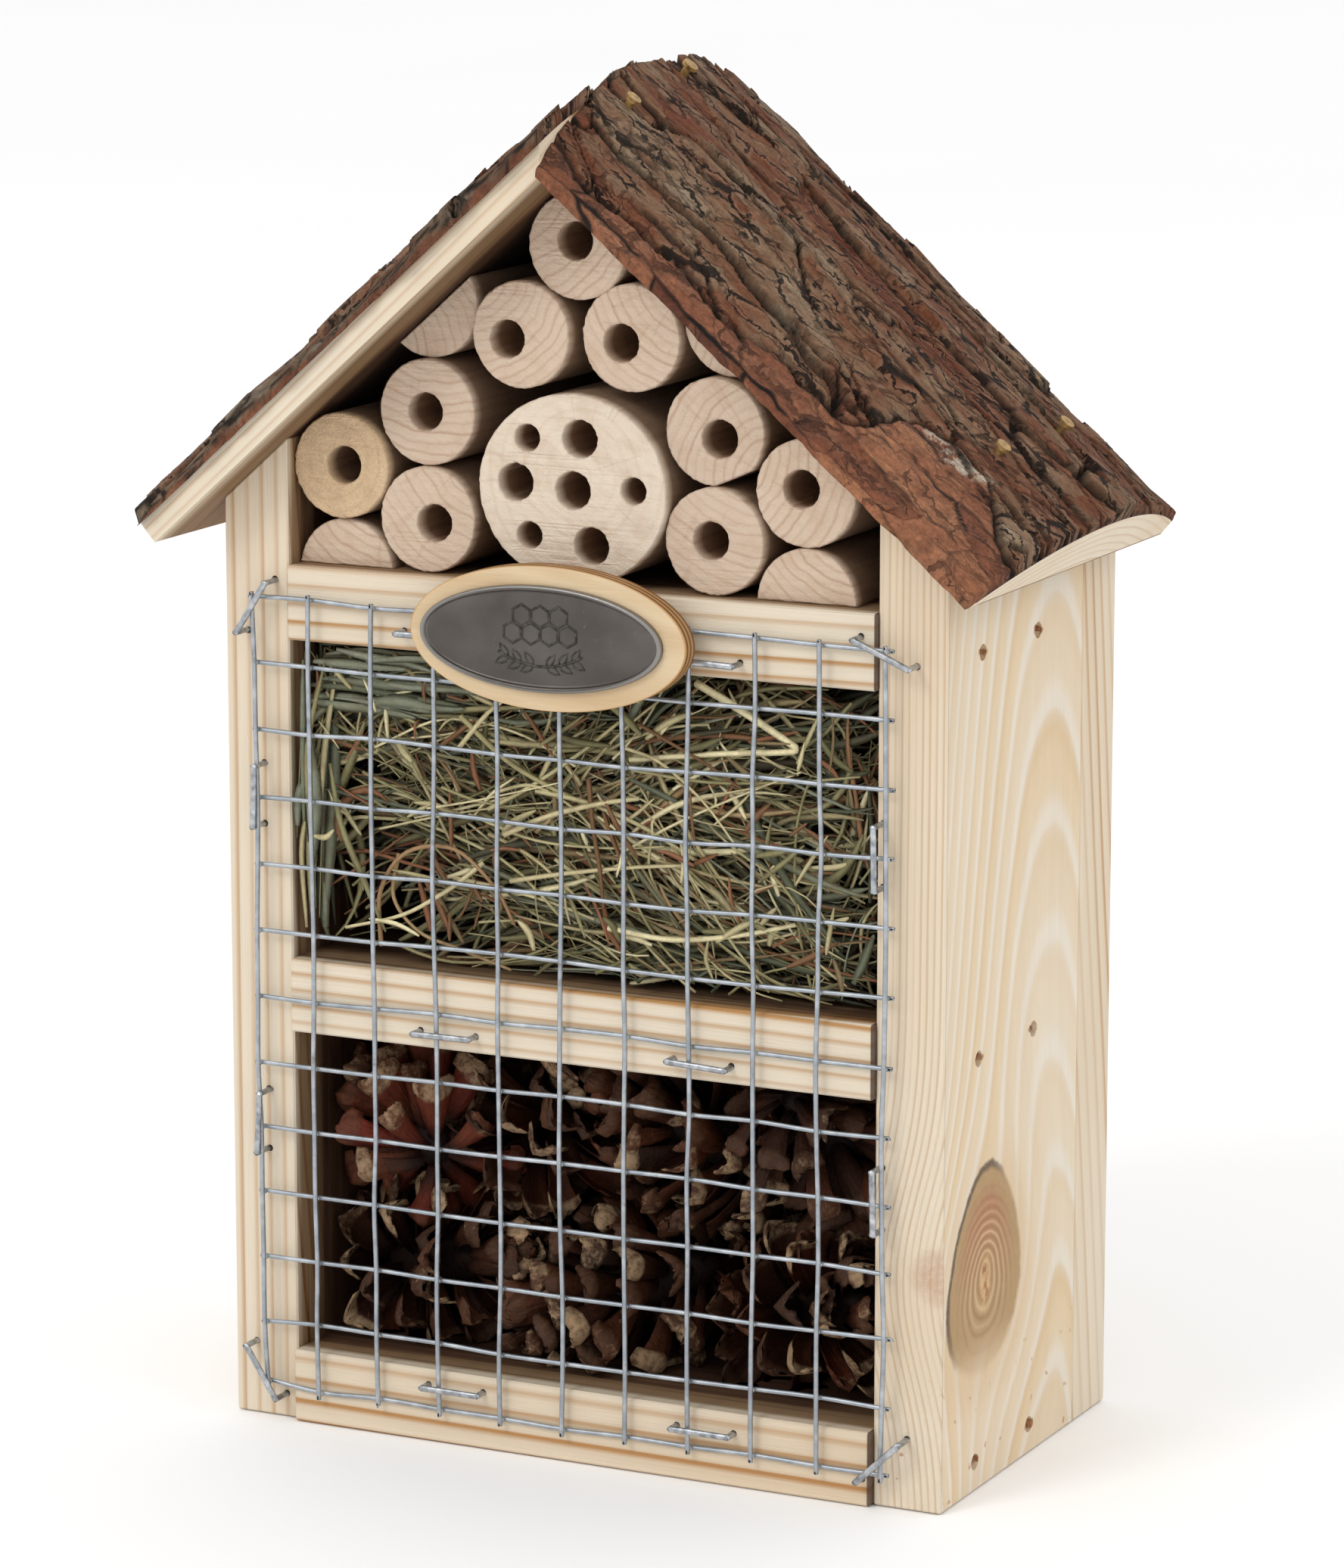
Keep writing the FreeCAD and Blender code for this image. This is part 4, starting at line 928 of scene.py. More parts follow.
# Middle across and up in mm, and tilt from level in degrees.
STAPLES = (
    (-65.8, 157.1, 60), (-65.7, 121.3, 90), (-65.6, 58.4, 90), (-65.8, 9.4, -56),
    (62.2, 158.4, -24), (61.2, 121.3, 90), (61.4, 58, 90), (62.6, 9.3, 45),
    (-29.4, 154.6, 0), (27.4, 154.1, 0), (-26.5, 79.4, 0), (26, 79.6, 0),
    (-25.2, 11, 0), (26.8, 10.2, 0),
)
crown_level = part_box("mesh_staples")[0][1] + STAPLE_WIDTH
rng = np.random.default_rng(8)
staple_parts = []
for middle_x, middle_z, tilt in STAPLES:
    lean = math.radians(tilt + rng.normal(0, 1.5))
    run = np.array([math.cos(lean), 0, math.sin(lean)])
    middle = np.array([middle_x * MM, 0, middle_z * MM])
    half_path = [(-STAPLE_HALF, STAPLE_LEG), (-STAPLE_HALF, crown_level + 0.7 * MM),
                 (-STAPLE_HALF + 0.08 * MM, crown_level + 0.2 * MM), (-STAPLE_HALF + 0.4 * MM, crown_level)]
    crown_middle = (0.0, crown_level + rng.uniform(0.0, 0.15) * MM)
    bends = [*half_path, crown_middle, *((-along, deep) for along, deep in half_path[::-1])]
    path = np.array([middle + run * along + np.array([0, deep, 0]) for along, deep in bends])
    staple_parts.append(tube(smooth_path(path, 3), STAPLE_WIDTH, 10, flat=0.75))
staple_steel = finish("staple_steel", lambda place: {
    "Base Color": place.cloud(700.0, 3.0).ramp((0.3, colour("7D8186")), (0.8, colour("D2D5D8"))),
    "Metallic": 0.85, "Roughness": place.cloud(500.0, 2.0) * 0.3 + 0.2})
make_piece("staples", *gather(staple_parts), staple_steel, "staple_steel", ["mesh_staples"])


# ======================================================================== Plaque
# An oval cut from thin birch plywood, with its edge left bare, and a stamped metal plate glued on it.
# The plate is flat inside a bead-rolled rim, and carries a plain honeycomb and leaf emboss.
OVAL_STEPS = 140


def oval_stack(middle, rings):
    """A turned-looking oval solid from (half width, half height, depth) rings, front to back."""
    points = []
    for half_wide, half_tall, depth in rings:
        loop = ring(middle, half_wide, half_tall, OVAL_STEPS)
        points.append(np.stack([loop[:, 0], np.full(OVAL_STEPS, depth), loop[:, 1]], 1))
    index = np.arange(len(rings) * OVAL_STEPS).reshape(len(rings), OVAL_STEPS)
    index = np.concatenate([index, index[:, :1]], 1)
    faces = [tuple(face) for face in
             np.stack([index[:-1, :-1], index[1:, :-1], index[1:, 1:], index[:-1, 1:]], -1).reshape(-1, 4)]
    faces += [tuple(index[0, :-1]), tuple(index[-1, :-1][::-1])]
    return np.concatenate(points), faces


low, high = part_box("plaque_disc")
oval_middle = ((low[0] + high[0]) / 2, (low[2] + high[2]) / 2)
oval_wide, oval_tall = (high[0] - low[0]) / 2, (high[2] - low[2]) / 2
oval_front, oval_back = low[1], high[1]
soft = 0.35 * MM
disc_rings = [(oval_wide - inset, oval_tall - inset, oval_front) for inset in (9 * MM, 2 * MM)]
disc_rings += [(oval_wide - soft * (1 - math.sin(angle)), oval_tall - soft * (1 - math.sin(angle)),
                oval_front + soft * (1 - math.cos(angle))) for angle in np.linspace(0, math.pi / 2, 5)]
disc_rings += [(oval_wide, oval_tall, oval_back - soft), (oval_wide - soft, oval_tall - soft, oval_back)]


def plywood_paint(place):
    run, deep, up = place.along(ACROSS), place.along(BACKWARD), place.along(UP)
    figure = place.joined(run * 16.0, deep * 16.0, up * 85.0).cloud(1.0, 3.0, 0.5, 0.8)
    fibre = place.joined(run * 120.0, deep * 900.0, up * 1800.0).cloud(1.0, 3.0)
    face = figure.ramp((0.3, colour("D4BE9C")), (0.75, colour("BC9C74")), (0.5, colour("CAB18C")))
    face = face.shaded(fibre * 0.2 + 0.9)
    layers = place.maths("PINGPONG", (deep - oval_front) / (0.67 * MM), 1.0)
    edge = layers.step(0.35, 0.65).blend(colour("BC935F"), colour("7D5430"))
    reach = ((run - oval_middle[0]) / oval_wide) ** 2.0 + ((up - oval_middle[1]) / oval_tall) ** 2.0
    wood = reach.step(0.965, 0.99).blend(face, edge)
    return {"Base Color": wood, "Roughness": fibre * 0.15 + 0.52, "Normal": place.relief(fibre * 0.00008)}


make_piece("plywood_oval", *oval_stack(oval_middle, disc_rings), finish("plywood", plywood_paint), "plywood",
           ["plaque_disc"], smooth=False)

low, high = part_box("plaque_plate")
plate_middle = ((low[0] + high[0]) / 2, (low[2] + high[2]) / 2)
plate_wide, plate_tall = (high[0] - low[0]) / 2, (high[2] - low[2]) / 2
plate_front, plate_back = low[1], high[1]
BEAD = 0.55 * MM
PLATE_DISH = 0.55 * MM
dish_level = plate_front + PLATE_DISH
plate_rings = [(plate_wide - inset, plate_tall - inset, dish_level + sag) for inset, sag in
               ((9 * MM, 0.0), (5 * MM, 0.0), (3 * MM, 0.02 * MM), (2 * BEAD + 0.5 * MM, 0.02 * MM))]
for angle in np.linspace(-math.pi / 2, math.pi / 2, 11):
    plate_rings.append((plate_wide - BEAD * (1 - math.sin(angle)), plate_tall - BEAD * (1 - math.sin(angle)),
                        plate_front + PLATE_DISH * (1 - math.cos(angle))))
plate_rings.append((plate_wide, plate_tall, plate_back))
emboss_parts = []
RIB = 0.3 * MM


def rib(path, radius=RIB):
    """One raised line of the emboss, half sunk into the plate."""
    return tube([(across * MM + plate_middle[0], dish_level + 0.06 * MM, up * MM + plate_middle[1])
                 for across, up in path], radius, 6)


CELL = 2.15                            # a honeycomb cell's half width over its corners, in mm
for row, column in ((0, -1.5), (0, -0.5), (0, 0.5), (0, 1.5), (1, -1), (1, 0), (1, 1)):
    corners = np.radians(np.arange(7) * 60 + 30)
    emboss_parts.append(rib([(column * CELL * math.sqrt(3) + CELL * 0.93 * math.cos(angle),
                              0.9 + row * CELL * 1.5 + CELL * 0.93 * math.sin(angle)) for angle in corners]))
for hand in (-1, 1):
    def branch(step):
        return hand * step * 1.7, -5.0 + 0.09 * step * step

    emboss_parts.append(rib([branch(step) for step in np.linspace(0, 5, 9)]))
    for step in (0.8, 2.3, 3.8):
        for turn in (0.95, -0.45):
            root = branch(step)
            heading = np.array([hand * math.cos(turn), math.sin(turn)])
            square = np.array([-heading[1], heading[0]])
            leaf = [np.array(root) + heading * 2.9 * share + square * bulge for share, bulge in
                    ((0, 0), (0.3, 0.6), (0.65, 0.5), (1, 0), (0.65, -0.5), (0.3, -0.6), (0, 0))]
            emboss_parts.append(rib(leaf, RIB * 0.75))


def pewter_paint(place):
    brushed = place.joined(place.along(ACROSS) * 60.0, place.along(BACKWARD) * 400.0,
                           place.along(UP) * 2600.0).cloud(1.0, 3.0)
    stain = place.cloud(70.0, 3.0)
    specks = place.cloud(1300.0, 3.0, 0.7).step(0.66, 0.74)
    reach = (((place.along(ACROSS) - plate_middle[0]) / plate_wide) ** 2.0
             + ((place.along(UP) - plate_middle[1]) / plate_tall) ** 2.0) ** 0.5
    metal = stain.ramp((0.3, colour("4D4844")), (0.75, colour("68635E")))
    metal = (specks * 0.35).blend(metal, colour("8C8680"))
    # Painted highlight: the rolled rim is painted paler.
    metal = reach.step(0.93, 0.99).blend(metal, colour("8F8C88"))
    return {"Base Color": metal, "Metallic": 0.85, "Roughness": brushed * 0.14 + 0.3,
            "Normal": place.relief(brushed * 0.00003)}


make_piece("metal_oval", *oval_stack(plate_middle, plate_rings), finish("pewter_plate", pewter_paint),
           "pewter_plate", ["plaque_plate"])
pewter_lines = finish("pewter_lines", lambda place: {
    "Base Color": place.cloud(900.0, 3.0).ramp((0.3, colour("322E2B")), (0.75, colour("55504B"))),
    "Metallic": 0.8, "Roughness": 0.42})
make_piece("emboss", *gather(emboss_parts), pewter_lines, "pewter_plate")


# ======================================================================== Hay
# Dry meadow hay pushed loosely into the middle chamber: thin stems, flat blades and a few stout
# straws. They lie in streams that swirl where the wad was folded, upright along the left wall.
hay_low, hay_high = (np.array(corner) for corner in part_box("hay_fill"))
HAY_STEPS = 11


def hay_heading(spot):
    """Which way the hay lies at a place in the chamber, from 0 to 1 across and up."""
    across, up = spot
    swirl = 0.75 * math.sin(3.1 * across + 2.3 * up * math.pi) + 0.5 * math.sin(7.3 * across - 4.1 * up + 1.0)
    upright = math.exp(-((across - 0.02) / 0.07) ** 2) + 0.6 * math.exp(-((across - 1.0) / 0.1) ** 2)
    return swirl * 0.55 * (1 - min(upright, 1)) + upright * 1.45


def hay_line(middle, heading, length, curl, weave, rng):
    """One stem's path: it bends steadily in the front plane and weaves a little in depth."""
    angle = heading + curl * np.linspace(-0.5, 0.5, HAY_STEPS) + np.cumsum(rng.normal(0, 0.045, HAY_STEPS))
    line = np.zeros((HAY_STEPS, 3))
    line[1:, 0] = np.cumsum(np.cos(angle[:-1]))
    line[1:, 2] = np.cumsum(np.sin(angle[:-1]))
    line *= length / (HAY_STEPS - 1)
    line[:, 1] = weave * np.sin(np.linspace(0, math.pi, HAY_STEPS) + rng.uniform(0, 6))
    return line - line.mean(0) + middle


def hay_blade(line, width, flat, rng, kind="stem"):
    """A closed stem or blade along a path."""
    share = np.linspace(0, 1, len(line))
    taper = {"stem": 1 - 0.35 * share, "blade": np.sin(0.3 + share * (math.pi - 0.42)) ** 0.6}[kind]
    return tube(line, width * taper, 4, flat, rng.normal(0, 0.45, 3) + (0, -1, 0))


def hay_bundle(count, seed, depths, widths, lengths, blades):
    """Many stems in streams, with each one's tone and how deep it lies."""
    rng = np.random.default_rng(seed)
    size = hay_high - hay_low
    parts, tones, depth_tones = [], [], []
    while len(parts) < count:
        spot = rng.uniform(0, 1, 2)
        hollow = math.exp(-((spot[0] - 0.1) / 0.2) ** 2 - ((spot[1] - 0.05) / 0.34) ** 2)
        if rng.uniform() < hollow * 1.5:
            continue
        middle = hay_low + size * np.array([spot[0], 0, spot[1]])
        depth = rng.uniform(*depths)
        middle[1] = hay_low[1] + depth
        heading = hay_heading(spot) + rng.normal(0, 0.42) + (rng.uniform() < 0.12) * rng.normal(0, 1.2)
        curl = rng.normal(0, 0.55) + (rng.uniform() < 0.1) * rng.normal(0, 1.8)
        length = rng.uniform(*lengths)
        for shorter in (1, 0.75, 0.55, 0.4):
            line = hay_line(middle, heading, length * shorter, curl, rng.uniform(0.3, 2.2) * MM, rng)
            if (line[:, (0, 2)] > hay_low[[0, 2]] + 0.3 * MM).all() and \
                    (line[:, (0, 2)] < hay_high[[0, 2]] - 0.3 * MM).all():
                break
        else:
            continue
        line[:, 1] = np.maximum(line[:, 1], hay_low[1] - 3.2 * MM)
        blade = rng.uniform() < blades
        width = rng.uniform(*widths) * MM * (1.5 if blade else 0.75)
        parts.append(hay_blade(line, width, 0.14 if blade else 0.85, rng, "blade" if blade else "stem"))
        tones.append(np.full(len(parts[-1][0]), rng.uniform()))
        depth_tones.append(np.full(len(parts[-1][0]), min(1, depth / (20 * MM))))
    points, faces = gather(parts)
    return points, faces, {"tone": np.concatenate(tones), "deep": np.concatenate(depth_tones)}


def hay_accents(seed):
    """The stems that stand out: broad blades at the upper left, a bent straw and curling stalks."""
    rng = np.random.default_rng(seed)
    parts, tones = [], []

    def add(path, width, flat, tone, kind="stem"):
        line = smooth_path(np.array(path) * MM, 6)
        parts.append(hay_blade(line, width * MM, flat, rng, kind))
        tones.append(np.full(len(parts[-1][0]), tone))

    for _ in range(34):
        left, top = rng.uniform(-58, -44), rng.uniform(139, 149.5)
        reach, drop = rng.uniform(18, 34), rng.uniform(-3, 4)
        deep = rng.uniform(1, 9)
        add([(left, deep, top), (left + reach * 0.35, deep - 0.6, min(top + rng.uniform(-1, 1.5), 149.8)),
             (left + reach * 0.7, deep + 0.6, top - drop * 0.6), (left + reach, deep, top - drop)],
            rng.uniform(0.5, 1.35), 0.12, rng.uniform(0.12, 0.24), "blade")
    for _ in range(16):
        foot = rng.uniform(-59.3, -54)
        low_end, high_end = rng.uniform(93, 120), rng.uniform(128, 149)
        deep = rng.uniform(-0.8, 4)
        add([(foot, deep, low_end), (foot + rng.uniform(-0.5, 2), deep - 0.5, (low_end + high_end) / 2),
             (foot + rng.uniform(-0.5, 4), deep + 0.8, high_end)], rng.uniform(0.5, 1.3), 0.15,
            rng.choice([0.16, 0.19, 0.5, 0.72]), "blade")
    add([(23.7, 0.5, 149.5), (34, -0.5, 145), (43.2, -0.9, 140.2), (44.3, -0.9, 139.4), (42.4, -0.8, 138.6),
         (28, 0.2, 136.8), (9.7, 1.8, 133.9)], 0.75, 0.6, 0.985)
    add([(-42, 1.5, 94), (-41, -0.3, 105), (-35, -1.0, 113), (-25, -1.0, 114.5), (-17, -0.4, 108),
         (-13.5, 0.8, 101)], 0.5, 0.8, 0.9)
    add([(-38, 1.5, 112), (-38.5, 0.2, 104), (-33, -0.3, 98), (-24, -0.5, 95.5), (-14, 0.3, 92.5)],
        0.42, 0.8, 0.91)
    add([(-20, 1.0, 112), (-26, -0.6, 107), (-36, -0.8, 101), (-49, 0.5, 97)], 0.5, 0.5, 0.97)
    add([(-52, 0.6, 128), (-49, -0.8, 117), (-44, -0.6, 106), (-40.5, 0.6, 97)], 0.7, 0.3, 0.45, "blade")
    for _ in range(26):
        start = np.array([rng.uniform(-45, 50), rng.uniform(-0.8, 2.5), rng.uniform(96, 146)])
        lean, reach = rng.normal(0.0, 0.5), rng.uniform(22, 48)
        bow = rng.normal(0, 2.5)
        end = start + reach * np.array([math.cos(lean), 0, math.sin(lean)])
        if not (-58 < end[0] < 58.5 and 92 < end[2] < 149):
            continue
        add([start, start + (end - start) * 0.35 + (0, -0.4, bow),
             start + (end - start) * 0.7 + (0, 0.3, bow * 0.8), end],
            rng.uniform(0.3, 0.62), 0.6, rng.choice([0.7, 0.96, 0.98, 0.6, 0.82]))
    for _ in range(170):
        start = np.array([rng.uniform(-57, 55), rng.uniform(-1.0, 4.0), rng.uniform(94, 147)])
        turn, reach = rng.uniform(0, math.pi), rng.uniform(4, 13)
        end = start + reach * np.array([math.cos(turn), rng.uniform(-0.15, 0.15), math.sin(turn)])
        if -58.5 < end[0] < 58.5 and 92 < end[2] < 149 and start[0] * 0.6 + start[2] > 76:
            add([start, (start + end) / 2 + rng.normal(0, 0.5, 3), end], rng.uniform(0.3, 0.75), 0.3,
                rng.choice([0.99, 0.96, 0.83, 0.87, 0.5, 0.68, 0.78, 0.35]), "blade")
    points, faces = gather(parts)
    return points, faces, {"tone": np.concatenate(tones), "deep": np.zeros(len(points))}


def hay_paint(place):
    tone, deep = place.tone("tone"), place.tone("deep")
    grass = tone.ramp((0.0, colour("3E3526")), (1.0, colour("EADFB4")), (0.12, colour("5F644E")),
                      (0.2, colour("8A8D78")), (0.3, colour("5B5739")), (0.45, colour("85805A")),
                      (0.58, colour("9D946A")), (0.7, colour("BDB287")), (0.8, colour("6B5236")),
                      (0.88, colour("8F5F42")), (0.94, colour("B5A67A")))
    lengthways = place.cloud(160.0, 2.0)
    grain = place.cloud(1500.0, 3.0)
    grass = (lengthways.step(0.5, 0.75) * 0.4).blend(grass, colour("6A563A"))
    # Painted shade: stems that lie deeper in the chamber are darkened, to a tenth from 14 mm in.
    light = (grain * 0.6 + 0.7) * (1 - deep.step(0.0, 0.7) * 0.9)
    return {"Base Color": grass.shaded(light), "Roughness": 0.55 + grain * 0.2, "Specular IOR Level": 0.3,
            "Normal": place.relief(grain * 0.0001)}


hay_finish = finish("hay", hay_paint)
HAY_LAYERS = (
    (620, (0.3 * MM, 5 * MM), (0.22, 0.62), (14 * MM, 52 * MM), 0.4),
    (1100, (4 * MM, 14 * MM), (0.25, 0.7), (16 * MM, 55 * MM), 0.45),
    (1000, (13 * MM, 30 * MM), (0.5, 1.1), (22 * MM, 60 * MM), 0.4),
)
for number, layer in enumerate(HAY_LAYERS, start=1):
    points, faces, tones = hay_bundle(layer[0], 500 + number, *layer[1:])
    make_piece(f"hay_layer_{number}", points, faces, hay_finish, "hay", ["hay_fill"] if number == 1 else (),
               tones=tones)
points, faces, tones = hay_accents(77)
make_piece("hay_accents", points, faces, hay_finish, "hay", tones=tones)


# ======================================================================== Pine cones
# Open pine cones dropped into the bottom chamber: woody scales in two spirals round a core, dark
# brown with thick, worn, paler caps. They lie every way and their scales reach between each other.
GOLDEN_TURN = math.pi * (3 - math.sqrt(5))
SCALES = 66


def cone_scale(length, half_width, curl, cup, rng):
    """One scale: thin at its root, spooned, with a thick four-sided cap and a small boss on it."""
    along = np.array([0.0, 0.2, 0.42, 0.6, 0.72, 0.8, 0.9, 0.97, 1.0])
    width = np.array([0.3, 0.42, 0.58, 0.74, 0.88, 1.0, 1.02, 0.78, 0.3])
    thick = np.array([0.5, 0.55, 0.7, 0.85, 1.0, 1.6, 1.9, 1.3, 0.5]) * MM * 0.5
    sides = np.linspace(-1, 1, 7)
    twist = rng.normal(0, 0.12)
    ripple = rng.normal(0, 0.05, (len(along), len(sides))) * half_width * along[:, None]
    lift = (curl * along[:, None] ** 2.2 * length + cup * half_width * sides[None, :] ** 2 * width[:, None]
            + twist * sides[None, :] * half_width * along[:, None] + ripple)
    spread = width[:, None] * sides[None, :] * half_width
    run = along[:, None] * length - 0.1 * length * sides[None, :] ** 2 * (along[:, None] > 0.75)
    body = thick[:, None] * (1 - 0.55 * sides[None, :] ** 2)
    boss = np.outer(np.exp(-((along - 0.9) / 0.05) ** 2), np.exp(-(sides / 0.25) ** 2)) * 0.7 * MM
    top = np.stack([run, spread, lift + body * 0.6], -1)
    under = np.stack([run, spread, lift - body - boss], -1)
    rows, columns = len(along), len(sides)
    count = rows * columns
    index = np.arange(count).reshape(rows, columns)
    rim = np.concatenate([index[0, :], index[1:, -1], index[-1, -2::-1], index[-2:0:-1, 0]])
    after = np.roll(rim, -1)
    faces = np.concatenate([grid_faces(rows, columns), grid_faces(rows, columns, count, True),
                            np.stack([rim, after, after + count, rim + count], -1)])
    tip = np.concatenate([np.repeat(along, columns)] * 2)
    aside = np.concatenate([np.tile(sides, rows)] * 2)
    return np.concatenate([top.reshape(-1, 3), under.reshape(-1, 3)]), faces, tip, aside


def pine_cone(centre, axis, half_length, radius, red, rng):
    """A whole cone: its core and its scales, with tones for caps and for each scale's own shade."""
    axis = Vector(axis).normalized()
    side = axis.orthogonal().normalized()
    basis = np.array([side, axis.cross(side), axis])
    parts, tips, shades, caps, asides = [], [], [], [], []
    start_turn = rng.uniform(0, 6)
    core = smooth_path([(0, 0, (share - 0.5) * 2 * half_length * 0.86) for share in np.linspace(0, 1, 5)], 2)
    core_width = radius * 0.3 * np.sin(np.linspace(0.35, math.pi - 0.2, len(core))) ** 0.6
    points, faces = tube(core, core_width, 8, 1.0, (1, 0, 0))
    parts.append((points, faces))
    tips.append(np.zeros(len(points)))
    shades.append(np.full(len(points), 0.1))
    caps.append(np.zeros(len(points)))
    asides.append(np.zeros(len(points)))
    for number in range(SCALES):
        share = (number + 0.5) / SCALES
        turn = start_turn + number * GOLDEN_TURN + rng.normal(0, 0.14)
        opening = math.radians(np.interp(share, (0, 0.3, 0.75, 1), (112, 88, 58, 14)) + rng.normal(0, 10))
        reach = radius * np.interp(share, (0, 0.25, 0.6, 1), (0.66, 1.0, 0.96, 0.66))
        reach = reach * rng.uniform(0.88, 1.12)
        half_wide = radius * np.interp(share, (0, 0.3, 0.8, 1), (0.17, 0.24, 0.21, 0.12))
        half_wide = half_wide * rng.uniform(0.8, 1.2)
        points, faces, tip, aside = cone_scale(reach, half_wide, 0.3 + rng.normal(0, 0.12), 0.7, rng)
        height = (share - 0.5) * 2 * half_length * 0.88 - 0.1 * half_length
        outward = np.array([math.cos(turn), math.sin(turn), 0])
        along = outward * math.sin(opening) + np.array([0, 0, 1]) * math.cos(opening)
        wide = np.array([-math.sin(turn), math.cos(turn), 0])
        lifted = np.cross(along, wide)
        if lifted[2] < 0:
            lifted, faces = -lifted, faces[:, ::-1]
        local = points[:, :1] * along + points[:, 1:2] * wide + points[:, 2:] * lifted
        local += outward * radius * 0.14 + np.array([0, 0, height])
        parts.append((local, faces))
        tips.append(tip)
        shades.append(np.full(len(tip), np.clip(red + rng.normal(0, 0.2), 0, 1)))
        caps.append(np.full(len(tip), rng.uniform()))
        asides.append(aside)
    points, faces = gather(parts)
    tones = {"tip": np.concatenate(tips), "shade": np.concatenate(shades), "cap": np.concatenate(caps),
             "aside": np.concatenate(asides)}
    return points @ basis + np.array(centre), faces, tones


def cone_paint(place):
    tip, shade, cap, aside = map(place.tone, ("tip", "shade", "cap", "aside"))
    ridges = place.joined(aside * 3.5, tip * 1.2, cap * 40.0).cloud(1.0, 3.0, 0.6)
    grit = place.cloud(620.0, 5.0, 0.7)
    patch = place.cloud(170.0, 3.0)
    scale = (shade * 0.9 + patch * 0.3 - 0.12).ramp(
        (0.0, colour("2A160D")), (1.0, colour("6C281A")), (0.3, colour("422313")), (0.55, colour("5A301B")),
        (0.75, colour("652D1A")))
    on_cap = tip.step(0.76, 0.84)
    lit_cap = (cap + (grit - 0.5) * 1.4 + (patch - 0.5) * 0.6).step(0.55, 0.95)
    scale = (on_cap * 0.35).blend(scale, colour("6B4E3A"))
    scale = (on_cap * lit_cap * 0.85).blend(scale, patch.blend(colour("8A6E52"), colour("C4A682")))
    # Painted shade: each scale darkens to near black towards its root, deep between the scales.
    scale = (tip.step(0.6, 0.1) * 0.8).blend(scale, colour("150B07"))
    scale = scale.shaded((grit * 0.9 + 0.4) * (ridges * 1.3 + 0.3))
    return {"Base Color": scale, "Roughness": 0.45 + grit * 0.25, "Specular IOR Level": 0.2,
            "Normal": place.relief(grit * 0.0005 + ridges * 0.0006)}


cone_finish = finish("cone_scale", cone_paint)
# Which way each cone points, and how red it is.
CONE_LIES = (
    ((1, -0.35, 0.3), 0.3), ((-0.9, -0.5, -0.25), 0.25), ((0.8, -0.55, 0.35), 0.35), ((1, 0, 0), 0.2),
    ((-1, 0, 0), 0.2), ((1, 0, 0), 0.2), ((-0.55, 0.8, 0.45), 0.85), ((0.75, -0.45, 0.6), 0.3),
    ((-0.8, -0.35, 0.5), 0.35), ((0.5, 0.6, -0.7), 0.3),
)
CONE_RADIUS = 13.6 * MM * 1.28         # scales reach past the plain envelope into the gaps
CHAMBER_LOW = np.array([-59.8, 0.6, 14.2]) * MM
CHAMBER_HIGH = np.array([59.8, 62.2, 76.0]) * MM
for number, (axis, red) in enumerate(CONE_LIES, start=1):
    node = f"pine_cone_{number}"
    low, high = (np.array(corner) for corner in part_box(node))
    centre = (low + high) / 2
    rng = np.random.default_rng(900 + number)
    points, faces, tones = pine_cone(centre, axis, (high - low).max() / 2, CONE_RADIUS, red, rng)
    points = np.clip(points, CHAMBER_LOW, CHAMBER_HIGH)
    make_piece(f"cone_{number}", points, faces, cone_finish, "cone_scale", [node], tones=tones)


# ======================================================================== Nails, screws and hanger
# Bright steel nails gone slightly rusty, driven just below the wood; brass-coloured brads in the
# bark; a zinc-plated hanging plate with two screws on the back.
def rusty_paint(place):
    rust = place.cloud(900.0, 4.0, 0.6)
    steel = rust.step(0.35, 0.6).blend(colour("8A5F36"), colour("C08445"))
    return {"Base Color": steel, "Metallic": 0.3 - rust.step(0.4, 0.55) * 0.3,
            "Roughness": rust * 0.4 + 0.35, "Normal": place.relief(rust * 0.00015)}


def sunk_paint(place):
    """The nails in the sides are punched in and half closed over: a low torn slot shows rust."""
    up = place.along(UP)
    off = 1.0
    for level in NAIL_LEVELS:
        off = place.maths("MINIMUM", place.maths("ABSOLUTE", up - level), off)
    slot = (off + place.cloud(700.0, 3.0) * 0.0012).step(1.6 * MM, 1.1 * MM)
    rust = place.cloud(900.0, 4.0, 0.6).blend(colour("7A4E28"), colour("C08445"))
    return {"Base Color": slot.blend(colour("D2BC98"), rust), "Roughness": 0.7}


def brass_paint(place):
    tarnish = place.cloud(900.0, 3.0)
    return {"Base Color": tarnish.ramp((0.3, colour("7C5F37")), (0.7, colour("C9A56A"))), "Metallic": 0.8,
            "Roughness": tarnish * 0.3 + 0.3}


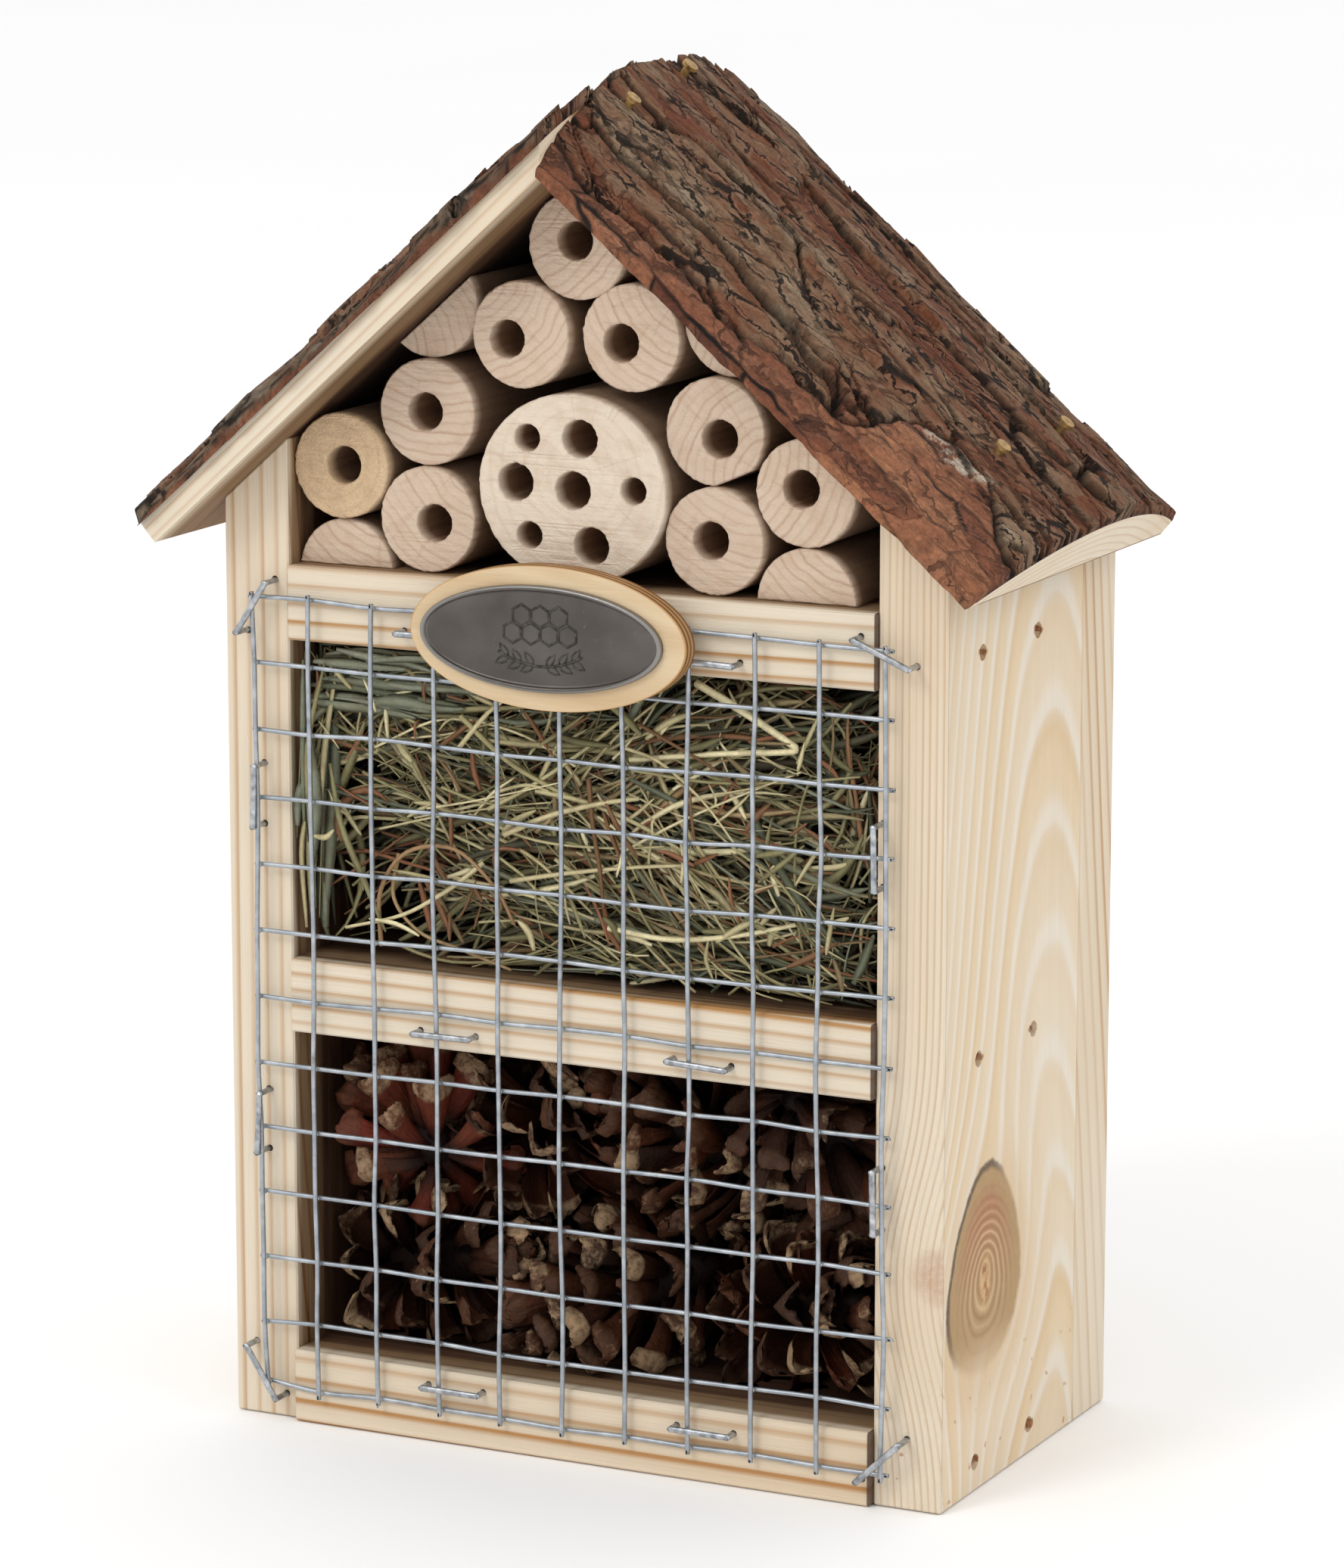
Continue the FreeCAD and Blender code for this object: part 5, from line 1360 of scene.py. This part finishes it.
def plated_paint(place):
    wear = place.cloud(600.0, 4.0, 0.6)
    sweep = place.joined(place.along(ACROSS) * 40.0, 0.0, place.along(UP) * 1500.0).cloud(1.0, 2.0)
    return {"Base Color": wear.ramp((0.3, colour("9FA09C")), (0.75, colour("C9CAC6"))), "Metallic": 0.95,
            "Roughness": wear * 0.25 + sweep * 0.1 + 0.22, "Normal": place.relief(sweep * 0.00003)}


rusty = finish("nail_steel", rusty_paint)
brass = finish("brad_brass", brass_paint)
plated = finish("hanger_steel", plated_paint)
for node in ("back_nails", "plaque_pins"):
    coat(node, rusty)
coat("side_nails", finish("sunk_nails", sunk_paint))
coat("roof_nails", brass)
coat("hanger_plate", plated)
coat("hanger_screws", plated)


# ======================================================================== Stage
# A plain white floor, a bright even room, and two large soft lights: one key, one weaker fill.
FLOOR_SIZE = 6.0
floor_mesh = bpy.data.meshes.new("floor")
floor_mesh.from_pydata([(-FLOOR_SIZE, -FLOOR_SIZE, 0), (FLOOR_SIZE, -FLOOR_SIZE, 0),
                        (FLOOR_SIZE, FLOOR_SIZE, 0), (-FLOOR_SIZE, FLOOR_SIZE, 0)], [], [(0, 1, 2, 3)])
floor = bpy.data.objects.new("floor", floor_mesh)
floor.location.z = -0.2 * MM
floor_mesh.materials.append(finish("floor_white", lambda place: {
    "Base Color": place.cloud(3.0).blend(colour("FCFCFC"), colour("F8F8F8")), "Roughness": 0.9}))
bpy.context.scene.collection.objects.link(floor)

world = bpy.data.worlds.new("room")
world.use_nodes = True
world.node_tree.nodes["Background"].inputs["Color"].default_value = (1.0, 1.0, 1.0, 1.0)
world.node_tree.nodes["Background"].inputs["Strength"].default_value = 1.0
bpy.context.scene.world = world
bpy.context.scene.view_settings.view_transform = "Standard"


def soft_light(name, place, aim, size, power):
    lamp = bpy.data.lights.new(name, "AREA")
    lamp.shape = "DISK"
    lamp.size = size
    lamp.energy = power
    stand = bpy.data.objects.new(name, lamp)
    stand.location = place
    stand.rotation_mode = "QUATERNION"
    stand.rotation_quaternion = (Vector(aim) - Vector(place)).to_track_quat("-Z", "Y")
    bpy.context.scene.collection.objects.link(stand)


soft_light("key_light", (-0.7, -1.7, 1.7), (0, 0, 0.13), 0.9, 14)
soft_light("fill_light", (1.8, -0.3, 1.5), (0, 0, 0.12), 0.9, 3)
